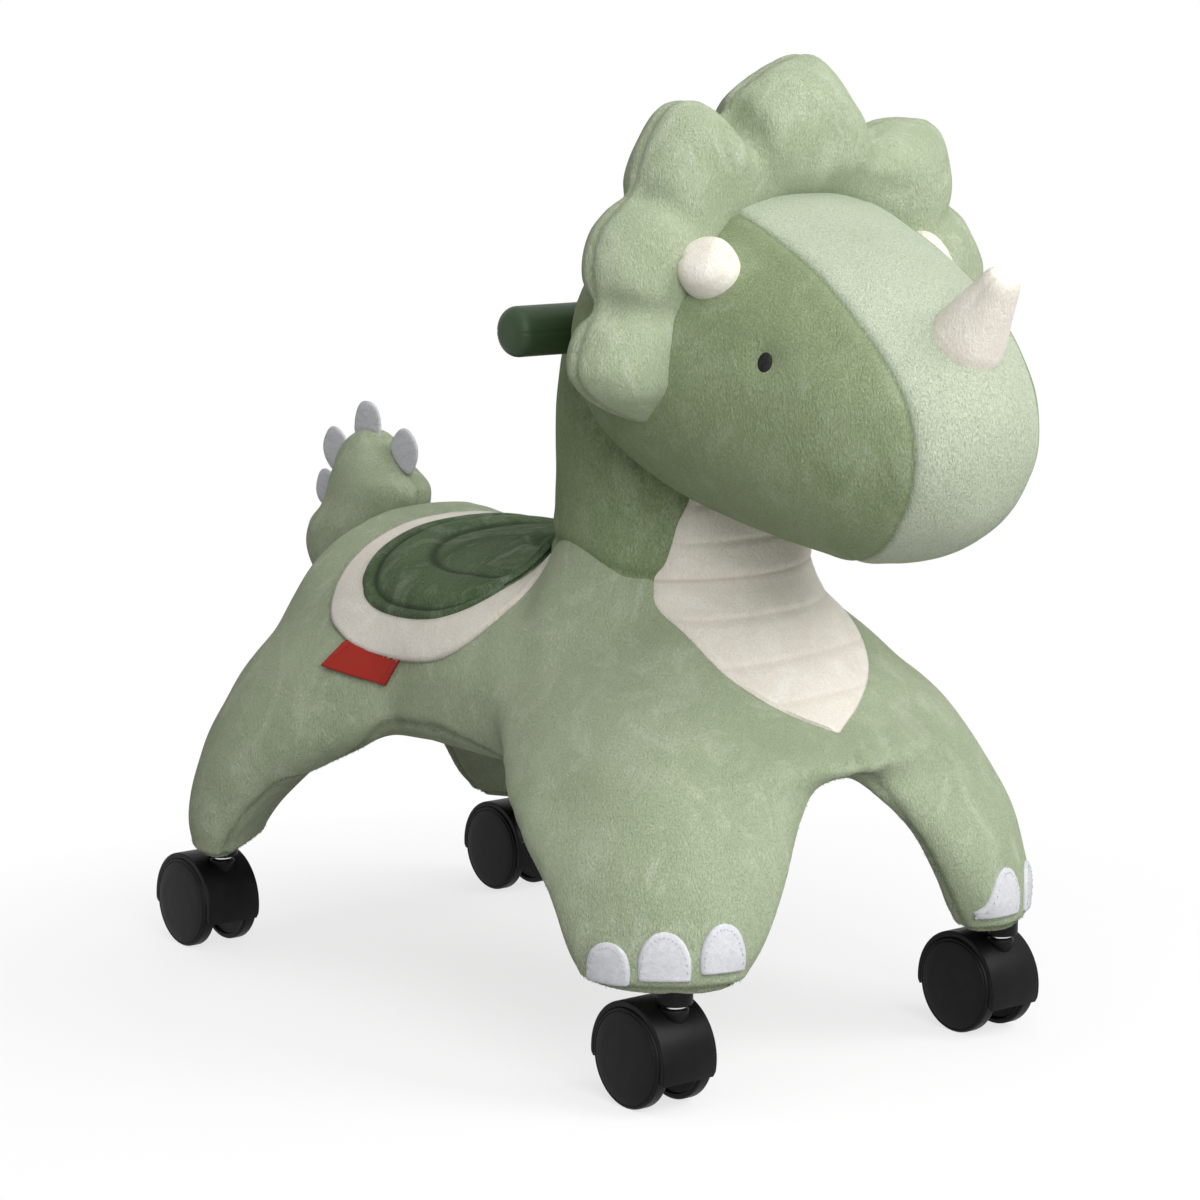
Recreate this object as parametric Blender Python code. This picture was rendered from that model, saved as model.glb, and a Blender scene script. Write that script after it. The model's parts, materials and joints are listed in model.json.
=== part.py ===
"""Plush ride-on dinosaur on four twin-wheel swivel casters.

Metres, +Z up. The animal faces -Y and its left side is +X. The floor is z = 0.
Soft pieces are lofts of oval sections, trimmed round the steel and plywood frame inside.
"""
import math

import bpy
import bmesh
import numpy as np
from mathutils import Matrix, Vector
from mathutils.bvhtree import BVHTree

mm = 0.001
quarter = math.pi / 2

# Fits and overruns shared by all pieces
gap = 0.3 * mm
soft_gap = 0.4 * mm
overrun = 3 * mm
ray_start = 500 * mm

# Plan of the casters
caster_track = 218 * mm
caster_base = 400 * mm

# Caster wheels
wheel_radius = 25 * mm
wheel_width = 8.5 * mm
wheel_face_radius = 23.5 * mm
wheel_outer_face = 18.75 * mm
wheel_hub_radius = 8 * mm
wheel_hub_depth = 2.6 * mm
wheel_sides = 20

# Caster hood, web and boss
caster_trail = 16 * mm
hood_radius = 28.2 * mm
hood_wall = 2 * mm
hood_half_width = 16.7 * mm
hood_front_angle = math.radians(-18)
hood_rear_angle = math.radians(190)
hood_steps = 11
web_half_width = 6.6 * mm
boss_radius = 7 * mm
boss_top = 51 * mm
boss_bottom = 33 * mm
boss_sides = 12

# Axle, stem and socket
axle_radius = 2.5 * mm
axle_sides = 10
stem_radius = 4 * mm
stem_bottom = 37 * mm
stem_top = 78 * mm
stem_flange_radius = 5.6 * mm
stem_flange_height = 1.2 * mm
socket_radius = 6 * mm
collar_radius = 8.9 * mm
collar_bottom = 52.8 * mm
collar_height = 7.7 * mm
socket_top = 82 * mm
round_sides = 12

# Top of the stuffed torso, which the steel frame lies inside
torso_top = 252 * mm

# Steel leg bars, bent in one piece across the animal
leg_tube_radius = 8 * mm
leg_tube_knee = 93 * mm
leg_tube_inset = 63 * mm
cross_depth = 66 * mm
cross_height = torso_top - cross_depth
tube_bend_radius = 32 * mm
tube_bend_steps = 3
tube_sides = 8

# Spine rail, seat board and neck post
rail_width = 30 * mm
rail_height = 15 * mm
rail_wall = 2 * mm
rail_overhang = 12 * mm
board_width = 110 * mm
board_length = 165 * mm
board_front = -22 * mm
board_thickness = 9 * mm
board_corner = 28 * mm
post_width = 24 * mm
post_wall = 2 * mm
post_plate_length = 60 * mm
post_plate_width = 40 * mm
post_plate_thickness = 3 * mm
post_head = 13 * mm

# Handlebar
bar_y = -61 * mm
bar_height = 365.5 * mm
bar_radius = 8 * mm
bar_wall = 1.5 * mm
grip_radius = 12.8 * mm
grip_end = 103.5 * mm
grip_start = 46 * mm
grip_end_wall = 5 * mm
grip_fillet = 7 * mm
grip_sides = 16

# Screws of the frame
screw_radius = 2.5 * mm
screw_head_radius = 4.6 * mm
screw_head_height = 2.6 * mm
screw_sides = 6

# Direction from the middle of the animal out through a foot, seen from above
splay_x_share = 0.634
splay_y_share = 0.773


def smooth(rows, places):
    """Read rows of numbers, evenly spaced over 0 to 1, along a curve that never overshoots them."""
    rows = np.asarray(rows, float)
    steps = np.diff(rows, axis=0)
    slopes = np.zeros_like(rows)
    same = steps[1:] * steps[:-1] > 0
    total = np.where(same, steps[1:] + steps[:-1], 1)
    slopes[1:-1] = np.where(same, 2 * steps[1:] * steps[:-1] / total, 0)
    slopes[0] = steps[0]
    slopes[-1] = steps[-1]
    at = np.clip(np.asarray(places, float), 0, 1) * (len(rows) - 1)
    low = np.minimum(at.astype(int), len(rows) - 2)
    u = (at - low)[..., None]
    rise = rows[low + 1] - rows[low]
    bend = slopes[low] + slopes[low + 1] - 2 * rise
    return rows[low] + u * (slopes[low] + u * (rise - slopes[low] - bend + u * bend))


def power(value, exponent):
    """Raise to a power and keep the sign."""
    return np.sign(value) * np.abs(value) ** exponent


def ring(count, start=0.0):
    """Angles once round, without the repeated last one."""
    return start + np.arange(count) * 2 * math.pi / count


def plain_material(name, colour, roughness, metallic=0.0):
    material = bpy.data.materials.new(name)
    material.use_nodes = True
    shader = material.node_tree.nodes["Principled BSDF"]
    shader.inputs["Base Color"].default_value = (*colour, 1)
    shader.inputs["Roughness"].default_value = roughness
    shader.inputs["Metallic"].default_value = metallic
    return material


def mesh_object(name, points, faces, material=None, parent=None, curved=False):
    """Make an object from points in the world, with its faces turned outwards.

    A curved skin is split into triangles at once, so that a grown copy of it bends along the same lines.
    """
    mesh = bpy.data.meshes.new(name)
    mesh.from_pydata([tuple(point) for point in points], [], [tuple(face) for face in faces])
    body = bmesh.new()
    body.from_mesh(mesh)
    if curved:
        bmesh.ops.triangulate(body, faces=body.faces)
    bmesh.ops.recalc_face_normals(body, faces=body.faces)
    body.to_mesh(mesh)
    body.free()
    thing = bpy.data.objects.new(name, mesh)
    bpy.context.scene.collection.objects.link(thing)
    if material:
        mesh.materials.append(material)
    if curved:
        mesh.shade_smooth()
    if parent:
        thing.parent = parent
        thing.matrix_parent_inverse = parent_matrix(parent).inverted()
    return thing


def parent_matrix(thing):
    """World matrix of an empty that only has a location, worked out without a scene update."""
    place = Matrix.Translation(thing.location)
    if thing.parent:
        return parent_matrix(thing.parent) @ place
    return place


def loft(name, rings, material=None, parent=None):
    """Close a stack of equal rings with a flat face at each end."""
    count, around = rings.shape[0], rings.shape[1]
    faces = []
    for i in range(count - 1):
        for j in range(around):
            k = (j + 1) % around
            faces.append((i * around + j, i * around + k, (i + 1) * around + k, (i + 1) * around + j))
    faces.append(range(around))
    faces.append(range((count - 1) * around, count * around))
    return mesh_object(name, rings.reshape(-1, 3), faces, material, parent, True)


def slab(name, outer, inner, material=None, parent=None):
    """Close the space between two grids of the same size, joined along their edges."""
    rows, cols = outer.shape[0], outer.shape[1]
    shift = rows * cols
    faces = []
    for i in range(rows - 1):
        for j in range(cols - 1):
            quad = (i * cols + j, i * cols + j + 1, (i + 1) * cols + j + 1, (i + 1) * cols + j)
            faces.append(quad)
            faces.append(tuple(shift + corner for corner in reversed(quad)))
    edge = [j for j in range(cols)]
    edge += [i * cols + cols - 1 for i in range(1, rows)]
    edge += [(rows - 1) * cols + j for j in range(cols - 2, -1, -1)]
    edge += [i * cols for i in range(rows - 2, 0, -1)]
    for one, two in zip(edge, edge[1:] + edge[:1]):
        faces.append((one, two, shift + two, shift + one))
    points = np.concatenate([outer.reshape(-1, 3), inner.reshape(-1, 3)])
    return mesh_object(name, points, faces, material, parent, True)


def turned(name, profile, sides, place, axis="Z", material=None, parent=None, start=0.0):
    """Turn a closed profile of (radius, height) pairs about an axis through a place."""
    angles = ring(sides, start)
    points = []
    faces = []
    rows = []
    for radius, height in profile:
        if radius == 0:
            rows.append([len(points)] * sides)
            points.append((0, 0, height))
            continue
        rows.append(list(range(len(points), len(points) + sides)))
        for angle in angles:
            points.append((radius * math.cos(angle), radius * math.sin(angle), height))
    for low, high in zip(rows, rows[1:] + rows[:1]):
        for j in range(sides):
            k = (j + 1) % sides
            corners = list(dict.fromkeys((low[j], low[k], high[k], high[j])))
            if len(corners) > 2:
                faces.append(corners)
    points = np.array(points)
    if axis == "X":
        points = points[:, [2, 0, 1]]
    thing = mesh_object(name, points + np.array(place), faces, material, parent)
    thing.data.set_sharp_from_angle(angle=math.radians(40))
    return thing


def box(name, low, high, material=None, parent=None):
    corners = [(x, y, z) for z in (low[2], high[2]) for y in (low[1], high[1]) for x in (low[0], high[0])]
    faces = [(0, 1, 3, 2), (4, 6, 7, 5), (0, 4, 5, 1), (2, 3, 7, 6), (0, 2, 6, 4), (1, 5, 7, 3)]
    return mesh_object(name, corners, faces, material, parent)


def swept(name, path, radius, sides, material=None):
    """Carry a circle along a path that never runs along its own side vector."""
    path = np.asarray(path)
    along = np.gradient(path, axis=0)
    along /= np.linalg.norm(along, axis=1)[:, None]
    side = np.array([0.0, 1.0, 0.0])
    across = np.cross(along, side)
    across /= np.linalg.norm(across, axis=1)[:, None]
    third = np.cross(across, along)
    angles = ring(sides)
    rings = path[:, None] + radius * (
        np.cos(angles)[None, :, None] * across[:, None] + np.sin(angles)[None, :, None] * third[:, None])
    return loft(name, rings, material)


def skin_normal(point, first, second):
    """Unit normal of a skin given by a function of two numbers, from nearby points."""
    nudge = 1e-3
    one = point(first + nudge, second) - point(first - nudge, second)
    two = point(first, second + nudge) - point(first, second - nudge)
    normal = np.cross(one, two)
    return normal / np.linalg.norm(normal, axis=-1)[..., None]


def skin_reach(things, points, outward):
    """How far out along each direction the outermost skin of some pieces lies."""
    trees = [BVHTree.FromPolygons([vertex.co for vertex in thing.data.vertices],
                                  [tuple(face.vertices) for face in thing.data.polygons]) for thing in things]
    reach = np.zeros(points.shape[:-1])
    for place in np.ndindex(reach.shape):
        start = Vector(points[place] + outward[place] * ray_start)
        distances = [tree.ray_cast(start, Vector(-outward[place]))[3] for tree in trees]
        reach[place] = ray_start - min(distance for distance in distances if distance is not None)
    return reach


def make_cutter(thing):
    thing.hide_render = True
    thing.display_type = "WIRE"
    return thing


def grown(thing, margin):
    """Copy a piece as a cutter, with every face moved out by a margin."""
    body = bmesh.new()
    body.from_object(thing, bpy.context.evaluated_depsgraph_get())
    body.normal_update()
    points = [point.co + point.normal * point.calc_shell_factor() * margin for point in body.verts]
    faces = [tuple(point.index for point in face.verts) for face in body.faces]
    body.free()
    return make_cutter(mesh_object(thing.name + "_room", points, faces))


def cut(thing, cutter, operation="DIFFERENCE"):
    """Cut at once, so that later pieces can be cut by the result."""
    bpy.context.view_layer.update()
    step = thing.modifiers.new(cutter.name, "BOOLEAN")
    step.operation = operation
    step.solver = "EXACT"
    step.object = cutter
    depsgraph = bpy.context.evaluated_depsgraph_get()
    mesh = bpy.data.meshes.new_from_object(thing.evaluated_get(depsgraph))
    thing.modifiers.remove(step)
    old = thing.data
    name = old.name
    thing.data = mesh
    bpy.data.meshes.remove(old)
    mesh.name = name


def cut_all(thing, cutters):
    for cutter in cutters:
        cut(thing, cutter)


def splay(side, end):
    """Outward direction of a foot and the direction along its broad face."""
    length = math.hypot(splay_x_share, splay_y_share)
    out = np.array([side * splay_x_share, end * splay_y_share, 0]) / length
    broad = np.array([side * splay_y_share, -end * splay_x_share, 0]) / length
    return out, broad


def stem_place(side, end):
    return np.array([side * caster_track / 2, end * caster_base / 2, 0])


for thing in list(bpy.data.objects):
    bpy.data.objects.remove(thing)

# Materials, with colours as the photograph shows them
sage = plain_material("sage plush", (0.36, 0.47, 0.27), 0.95)
dark_sage = plain_material("dark sage plush", (0.22, 0.32, 0.16), 0.95)
pale_sage = plain_material("pale sage plush", (0.42, 0.53, 0.32), 0.95)
cream = plain_material("cream plush", (0.80, 0.74, 0.64), 0.95)
forest = plain_material("forest green plush", (0.05, 0.12, 0.05), 0.95)
felt = plain_material("pale grey felt", (0.76, 0.77, 0.79), 0.95)
thread = plain_material("black thread", (0.02, 0.02, 0.02), 0.6)
label = plain_material("red woven tape", (0.55, 0.03, 0.02), 0.8)
grip_plastic = plain_material("dark green plastic", (0.03, 0.09, 0.04), 0.4)
black_plastic = plain_material("black plastic", (0.012, 0.012, 0.013), 0.45)
steel = plain_material("bright steel", (0.6, 0.6, 0.6), 0.3, 1.0)
painted_steel = plain_material("painted steel", (0.08, 0.08, 0.08), 0.5, 0.6)
plywood = plain_material("plywood", (0.6, 0.45, 0.28), 0.7)


# Casters

def make_caster(name, side, end):
    """One swivel caster: a stem and hood that turn about Z, and two wheels that turn about X."""
    place = stem_place(side, end)
    swivel = bpy.data.objects.new(name + "_swivel", None)
    swivel.location = place
    bpy.context.scene.collection.objects.link(swivel)
    axle_place = place + np.array([0, caster_trail, wheel_radius])

    socket_profile = [
        (stem_radius + gap, collar_bottom), (collar_radius, collar_bottom),
        (collar_radius, collar_bottom + collar_height), (socket_radius, collar_bottom + collar_height),
        (socket_radius, socket_top), (0, socket_top), (0, stem_top + gap), (stem_radius + gap, stem_top + gap)]
    turned(name + "_socket", socket_profile, round_sides, place, "Z", black_plastic)

    flange_low = boss_top + gap
    stem_profile = [
        (0, stem_bottom), (stem_radius, stem_bottom), (stem_radius, flange_low),
        (stem_flange_radius, flange_low), (stem_flange_radius, flange_low + stem_flange_height),
        (stem_radius, flange_low + stem_flange_height), (stem_radius, stem_top), (0, stem_top)]
    turned(name + "_stem", stem_profile, round_sides, place, "Z", steel, swivel)

    make_hood(name, place, axle_place, swivel)

    axle_half = wheel_outer_face - gap
    axle_profile = [(0, -axle_half), (axle_radius, -axle_half), (axle_radius, axle_half), (0, axle_half)]
    turned(name + "_axle", axle_profile, axle_sides, axle_place, "X", steel, swivel)

    for word, hand in (("left", 1), ("right", -1)):
        spin = bpy.data.objects.new(name + "_" + word + "_spin", None)
        spin.parent = swivel
        spin.location = Vector(axle_place - place)
        bpy.context.scene.collection.objects.link(spin)
        make_wheel(name + "_wheel_" + word, axle_place, hand, spin)


def make_hood(name, place, axle_place, swivel):
    """Curved cover over both wheels, with a web between them and a boss round the stem."""
    angles = np.linspace(hood_front_angle, hood_rear_angle, hood_steps + 1)
    outer = np.stack([-np.cos(angles), np.sin(angles)], axis=1) * hood_radius
    inner = np.stack([-np.cos(angles), np.sin(angles)], axis=1) * (hood_radius - hood_wall)
    outline = np.concatenate([outer, inner[::-1]])
    hood = extrude_side_outline(name + "_hood", outline, hood_half_width, axle_place, black_plastic, swivel)
    web_outline = np.stack([-np.cos(angles), np.sin(angles)], axis=1) * (hood_radius - hood_wall / 2)
    web = extrude_side_outline("web", web_outline, web_half_width, axle_place)
    boss_profile = [(0, boss_bottom), (boss_radius, boss_bottom), (boss_radius, boss_top), (0, boss_top)]
    boss = turned("boss", boss_profile, boss_sides, place)
    cut(hood, web, "UNION")
    cut(hood, boss, "UNION")
    stem_room_profile = [
        (0, stem_bottom - gap), (stem_radius + gap, stem_bottom - gap),
        (stem_radius + gap, boss_top + overrun), (0, boss_top + overrun)]
    stem_room = turned("stem_room", stem_room_profile, round_sides, place)
    axle_room_profile = [
        (0, -hood_half_width), (axle_radius + gap, -hood_half_width),
        (axle_radius + gap, hood_half_width), (0, hood_half_width)]
    axle_room = turned("axle_room", axle_room_profile, axle_sides, axle_place, "X")
    cut(hood, stem_room)
    cut(hood, axle_room)
    for helper in (web, boss, stem_room, axle_room):
        bpy.data.objects.remove(helper)
    hood.data.set_sharp_from_angle(angle=math.radians(40))


def extrude_side_outline(name, outline, half_width, centre, material=None, parent=None):
    """Extrude an outline drawn in (y, z) to both sides of a centre along X."""
    count = len(outline)
    points = [(side * half_width, y, z) for side in (-1, 1) for y, z in outline]
    faces = [tuple(range(count)), tuple(range(2 * count - 1, count - 1, -1))]
    for j in range(count):
        k = (j + 1) % count
        faces.append((j, k, count + k, count + j))
    return mesh_object(name, np.array(points) + np.array(centre), faces, material, parent)


def make_wheel(name, centre, hand, spin):
    """One wheel: a tread of flats, one of them on the floor, a bevelled edge and a hub against the web."""
    half_flat = math.pi / wheel_sides
    tread = wheel_radius / math.cos(half_flat)
    outer = wheel_outer_face
    inner = outer - wheel_width
    hub = inner - wheel_hub_depth
    edge = wheel_radius - wheel_face_radius
    profile = [
        (axle_radius + gap, hub), (wheel_hub_radius, hub), (wheel_hub_radius, inner),
        (tread, inner), (tread, outer - edge), (wheel_face_radius, outer),
        (axle_radius + gap, outer)]
    if hand < 0:
        profile = [(radius, -height) for radius, height in profile]
    turned(name, profile, wheel_sides, centre, "X", black_plastic, spin, half_flat)


corners = {
    "front_left": (1, -1), "front_right": (-1, -1), "rear_left": (1, 1), "rear_right": (-1, 1)}
for corner_name, (side, end) in corners.items():
    make_caster(corner_name, side, end)


# Frame: two bent leg tubes, a rail, a board, a post, the handlebar and their screws

def rounded_path(corner_points, radius, steps):
    """Walk along straight runs whose inner corners are turned into arcs of one radius."""
    points = [np.asarray(corner_points[0])]
    for before, corner, after in zip(corner_points, corner_points[1:], corner_points[2:]):
        to_before = np.asarray(before) - corner
        to_after = np.asarray(after) - corner
        to_before = to_before / np.linalg.norm(to_before)
        to_after = to_after / np.linalg.norm(to_after)
        half = math.acos(float(to_before @ to_after)) / 2
        bisector = to_before + to_after
        bisector = bisector / np.linalg.norm(bisector)
        centre = corner + bisector * radius / math.sin(half)
        start = corner + to_before * radius / math.tan(half) - centre
        finish = corner + to_after * radius / math.tan(half) - centre
        sweep = math.pi - 2 * half
        for step in range(steps + 1):
            share = step / steps
            blend = (math.sin((1 - share) * sweep) * start + math.sin(share * sweep) * finish) / math.sin(sweep)
            points.append(centre + blend)
    points.append(np.asarray(corner_points[-1]))
    return points


def leg_tube_path(end, reach):
    """Middle line of a leg tube: up from one foot, in and across, and down to the other foot."""
    halves = []
    for side in (1, -1):
        out, broad = splay(side, end)
        foot = stem_place(side, end)
        low = foot + np.array([0, 0, collar_bottom + collar_height + gap - reach])
        knee = foot + np.array([0, 0, leg_tube_knee])
        shoulder = foot - out * leg_tube_inset + np.array([0, 0, cross_height])
        halves.append([low, knee, shoulder])
    return rounded_path(halves[0] + halves[1][::-1], tube_bend_radius, tube_bend_steps)


def make_leg_frame(name, end):
    tube = swept(name, leg_tube_path(end, 0), leg_tube_radius, tube_sides, painted_steel)
    for side in (1, -1):
        low = collar_bottom + collar_height - overrun
        bore = turned("bore", [(0, low), (socket_radius + gap, low), (socket_radius + gap, socket_top + gap),
                               (0, socket_top + gap)], round_sides, stem_place(side, end))
        cut(tube, bore)
        bpy.data.objects.remove(bore)
    room = make_cutter(swept(name + "_room", leg_tube_path(end, overrun), leg_tube_radius + gap, tube_sides))
    return tube, room


front_frame, front_frame_room = make_leg_frame("front_leg_frame", -1)
rear_frame, rear_frame_room = make_leg_frame("rear_leg_frame", 1)

cross_y = caster_base / 2 - leg_tube_inset * splay_y_share / math.hypot(splay_x_share, splay_y_share)
rail_low = cross_height + leg_tube_radius + gap
rail_top = rail_low + rail_height
rail_half_length = cross_y + rail_overhang
rail = box("spine_rail", (-rail_width / 2, -rail_half_length, rail_low),
           (rail_width / 2, rail_half_length, rail_top), painted_steel)
rail_bore = box("rail_bore", (rail_wall - rail_width / 2, -rail_half_length - overrun, rail_low + rail_wall),
                (rail_width / 2 - rail_wall, rail_half_length + overrun, rail_top - rail_wall))
cut(rail, rail_bore)
bpy.data.objects.remove(rail_bore)

deck = rail_top + gap


def rounded_plate(name, centre, length, width, low, high, corner, material=None):
    """Flat plate with round corners, drawn in plan."""
    points = []
    for sx, sy, start in ((1, 1, 0), (-1, 1, 1), (-1, -1, 2), (1, -1, 3)):
        for step in range(5):
            angle = (start + step / 4) * quarter
            points.append((centre[0] + sx * (width / 2 - corner) + corner * math.cos(angle),
                           centre[1] + sy * (length / 2 - corner) + corner * math.sin(angle)))
    count = len(points)
    corners_3d = [(x, y, z) for z in (low, high) for x, y in points]
    faces = [tuple(range(count)), tuple(range(count, 2 * count))]
    for j in range(count):
        k = (j + 1) % count
        faces.append((j, k, count + k, count + j))
    return mesh_object(name, corners_3d, faces, material)


board_centre = (0, board_front + board_length / 2)
board_top = deck + board_thickness
board = rounded_plate(
    "seat_board", board_centre, board_length, board_width, deck, board_top, board_corner, plywood)

post_top = bar_height + post_head
post = box("neck_post", (-post_width / 2, bar_y - post_width / 2, deck),
           (post_width / 2, bar_y + post_width / 2, post_top), painted_steel)
post_plate = box("post_plate", (-post_plate_width / 2, bar_y - post_plate_length / 2, deck),
                 (post_plate_width / 2, bar_y + post_plate_length / 2, deck + post_plate_thickness))
cut(post, post_plate, "UNION")
post_bore = box("post_bore", (post_wall - post_width / 2, bar_y + post_wall - post_width / 2, deck - overrun),
                (post_width / 2 - post_wall, bar_y + post_width / 2 - post_wall, post_top + overrun))
cut(post, post_bore)
bar_hole = turned("bar_hole", [
    (0, -post_width), (bar_radius + gap, -post_width), (bar_radius + gap, post_width), (0, post_width)],
    round_sides, (0, bar_y, bar_height), "X")
cut(post, bar_hole)
for helper in (post_plate, post_bore, bar_hole):
    bpy.data.objects.remove(helper)

bar_end = grip_end - grip_end_wall
bar_profile = [
    (bar_radius, -bar_end), (bar_radius, bar_end), (bar_radius - bar_wall, bar_end),
    (bar_radius - bar_wall, -bar_end)]
bar = turned("handlebar_tube", bar_profile, round_sides, (0, bar_y, bar_height), "X", steel)


def make_grip(name, hand):
    """Plastic grip pushed over the bar, with a round closed end."""
    outline = [(bar_radius + gap, bar_end + gap), (bar_radius + gap, grip_start), (grip_radius, grip_start)]
    steps = 4
    for step in range(steps + 1):
        angle = quarter * step / steps
        outline.append((grip_radius - grip_fillet + grip_fillet * math.cos(angle),
                        grip_end - grip_fillet + grip_fillet * math.sin(angle)))
    outline += [(0, grip_end), (0, bar_end + gap)]
    profile = [(radius, hand * height) for radius, height in outline]
    return turned(name, profile, grip_sides, (0, bar_y, bar_height), "X", grip_plastic)


left_grip = make_grip("left_grip", 1)
right_grip = make_grip("right_grip", -1)

# Screws: two through the board, two in the post's plate and one through each leg bar

screw_edge = 9 * mm
board_screw_share = 0.6606
cross_screw_top = rail_top + gap
cross_screw_bottom = cross_height - leg_tube_radius - overrun
rail_skin = rail_wall + overrun


def screw(name, low, high, y):
    """Button-head screw standing on a face at height high, its tip at height low."""
    profile = [(0, low), (screw_radius, low), (screw_radius, high), (screw_head_radius, high),
               (screw_head_radius, high + screw_head_height), (0, high + screw_head_height)]
    return turned(name, profile, screw_sides, (0, y, 0), "Z", steel)


def drill(things, low, high, y, radius=screw_radius):
    reach = gap + overrun
    profile = [(0, low - reach), (radius + gap, low - reach), (radius + gap, high + reach), (0, high + reach)]
    drill_body = turned("drill", profile, screw_sides, (0, y, 0))
    for thing in things:
        cut(thing, drill_body)
    bpy.data.objects.remove(drill_body)


board_screw_run = board_screw_share * board_length / 2
for word, end in (("front", -1), ("rear", 1)):
    y = board_centre[1] + end * board_screw_run
    screw(word + "_board_screw", rail_top - rail_skin, board_top + gap, y)
    drill([board, rail], rail_top - rail_skin, board_top, y)
plate_top = deck + post_plate_thickness
plate_screw_ys = (bar_y - post_plate_length / 2 + screw_edge, bar_y + post_plate_length / 2 - screw_edge)
for word, y in zip(("front", "rear"), plate_screw_ys):
    screw(word + "_post_screw", rail_top - rail_skin, plate_top + gap, y)
    drill([post, rail], rail_top - rail_skin, plate_top, y)
for word, frame_tube, end in (("front", front_frame, -1), ("rear", rear_frame, 1)):
    screw(word + "_leg_screw", cross_screw_bottom, cross_screw_top, end * cross_y)
    drill([frame_tube, rail], cross_screw_bottom, rail_top, end * cross_y)
    drill([board], deck, board_top, end * cross_y, screw_head_radius)


# Stuffed torso

torso_half_length = 213 * mm
torso_half_width = 101 * mm
torso_bottom = 137 * mm
torso_widest = 172 * mm
torso_squareness = 0.9
torso_under_squareness = 0.5
torso_steps = 17
torso_around = 20

# Each row: place along the half length, half width, underside and top, front to back
torso_row_shares = [
    (-1.00, 0.10, 0.15, 0.18), (-0.97, 0.58, 0.13, 0.24), (-0.90, 0.80, 0.11, 0.33),
    (-0.84, 0.88, 0.09, 0.47), (-0.77, 0.92, 0.07, 0.64), (-0.69, 0.96, 0.04, 0.86),
    (-0.59, 0.98, 0.02, 0.98), (-0.38, 1.00, 0.00, 0.98), (-0.12, 1.00, 0.00, 0.92),
    (0.15, 1.00, 0.00, 0.90), (0.42, 1.00, 0.00, 0.91), (0.60, 0.98, 0.00, 0.93),
    (0.71, 0.96, 0.00, 0.86), (0.81, 0.91, 0.01, 0.57), (0.89, 0.81, 0.03, 0.34),
    (0.97, 0.58, 0.07, 0.18), (1.00, 0.10, 0.10, 0.13)]


def torso_point(along, angle, lift=0.0):
    """Skin of the torso: along runs 0 to 1 from front to back, angle turns up from +X."""
    row = smooth(torso_row_shares, along)
    height = torso_top - torso_bottom
    width = row[..., 1] * torso_half_width
    low = torso_bottom + row[..., 2] * height
    high = torso_bottom + row[..., 3] * height
    middle = np.minimum(torso_widest, (low + high) / 2)
    rise = np.sin(angle)
    x = width * power(np.cos(angle), np.where(rise < 0, torso_under_squareness, torso_squareness))
    up = (high - middle) * power(np.maximum(rise, 0), torso_squareness)
    down = (middle - low) * power(np.maximum(-rise, 0), torso_under_squareness)
    point = np.stack([x, row[..., 0] * torso_half_length + 0 * x, middle + up - down], axis=-1)
    if np.all(lift == 0):
        return point
    return point + skin_normal(torso_point, along, angle) * np.asarray(lift)[..., None]


def torso_along(y):
    """Place along the torso's rows at which its skin lies at a given y."""
    ys = [row[0] * torso_half_length for row in torso_row_shares]
    return np.interp(y, ys, np.linspace(0, 1, len(ys)))


along_grid, angle_grid = np.meshgrid(np.linspace(0, 1, torso_steps + 1), ring(torso_around), indexing="ij")
torso = loft("torso", torso_point(along_grid, angle_grid), sage)


# Legs

foot_bottom = 59.5 * mm
leg_top = 222 * mm
leg_reach = 100 * mm
leg_steps = 11
leg_around = 14
leg_squareness = 0.88

# Each row: height, outer face, inner face of a front and of a rear leg, the broad side's reach
# to the flank and to the front or back, and how much its ends curl in
leg_row_shares = [
    (0.000, 0.05, -0.12, -0.10, 0.24, 0.24, 0.30), (0.009, 0.09, -0.18, -0.15, 0.34, 0.33, 0.30),
    (0.025, 0.12, -0.22, -0.18, 0.41, 0.39, 0.30), (0.065, 0.14, -0.26, -0.22, 0.46, 0.44, 0.30),
    (0.126, 0.14, -0.30, -0.28, 0.51, 0.475, 0.30), (0.219, 0.11, -0.37, -0.41, 0.57, 0.52, 0.33),
    (0.311, 0.07, -0.45, -0.57, 0.63, 0.565, 0.38), (0.404, 0.01, -0.55, -0.84, 0.71, 0.61, 0.46),
    (0.496, -0.07, -0.71, -1.04, 0.80, 0.665, 0.56), (0.600, -0.16, -0.90, -1.12, 0.87, 0.69, 0.68),
    (0.698, -0.26, -1.05, -1.17, 0.92, 0.67, 0.76), (0.785, -0.37, -1.12, -1.19, 0.90, 0.61, 0.80),
    (0.865, -0.50, -1.15, -1.20, 0.84, 0.53, 0.80), (0.939, -0.65, -1.18, -1.20, 0.72, 0.43, 0.80),
    (1.000, -0.85, -1.12, -1.12, 0.46, 0.30, 0.80)]


def leg_point(side, end, up, angle):
    """Skin of a leg: up runs 0 to 1 from the sole, angle turns from the outward direction."""
    out, broad = splay(side, end)
    row = smooth(leg_row_shares, up)
    outer = row[..., 1] * leg_reach
    inner = row[..., 2 if end < 0 else 3] * leg_reach
    reach = (outer + inner) / 2 + (outer - inner) / 2 * power(np.cos(angle), leg_squareness)
    half_spread = np.where(np.sin(angle) > 0, row[..., 4], row[..., 5]) * leg_reach
    spread = half_spread * power(np.sin(angle), leg_squareness)
    reach = reach - row[..., 6] * spread ** 2 / leg_reach
    height = foot_bottom + row[..., 0] * (leg_top - foot_bottom)
    lift = height[..., None] * np.array([0, 0, 1])
    return stem_place(side, end) + reach[..., None] * out + spread[..., None] * broad + lift


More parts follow.
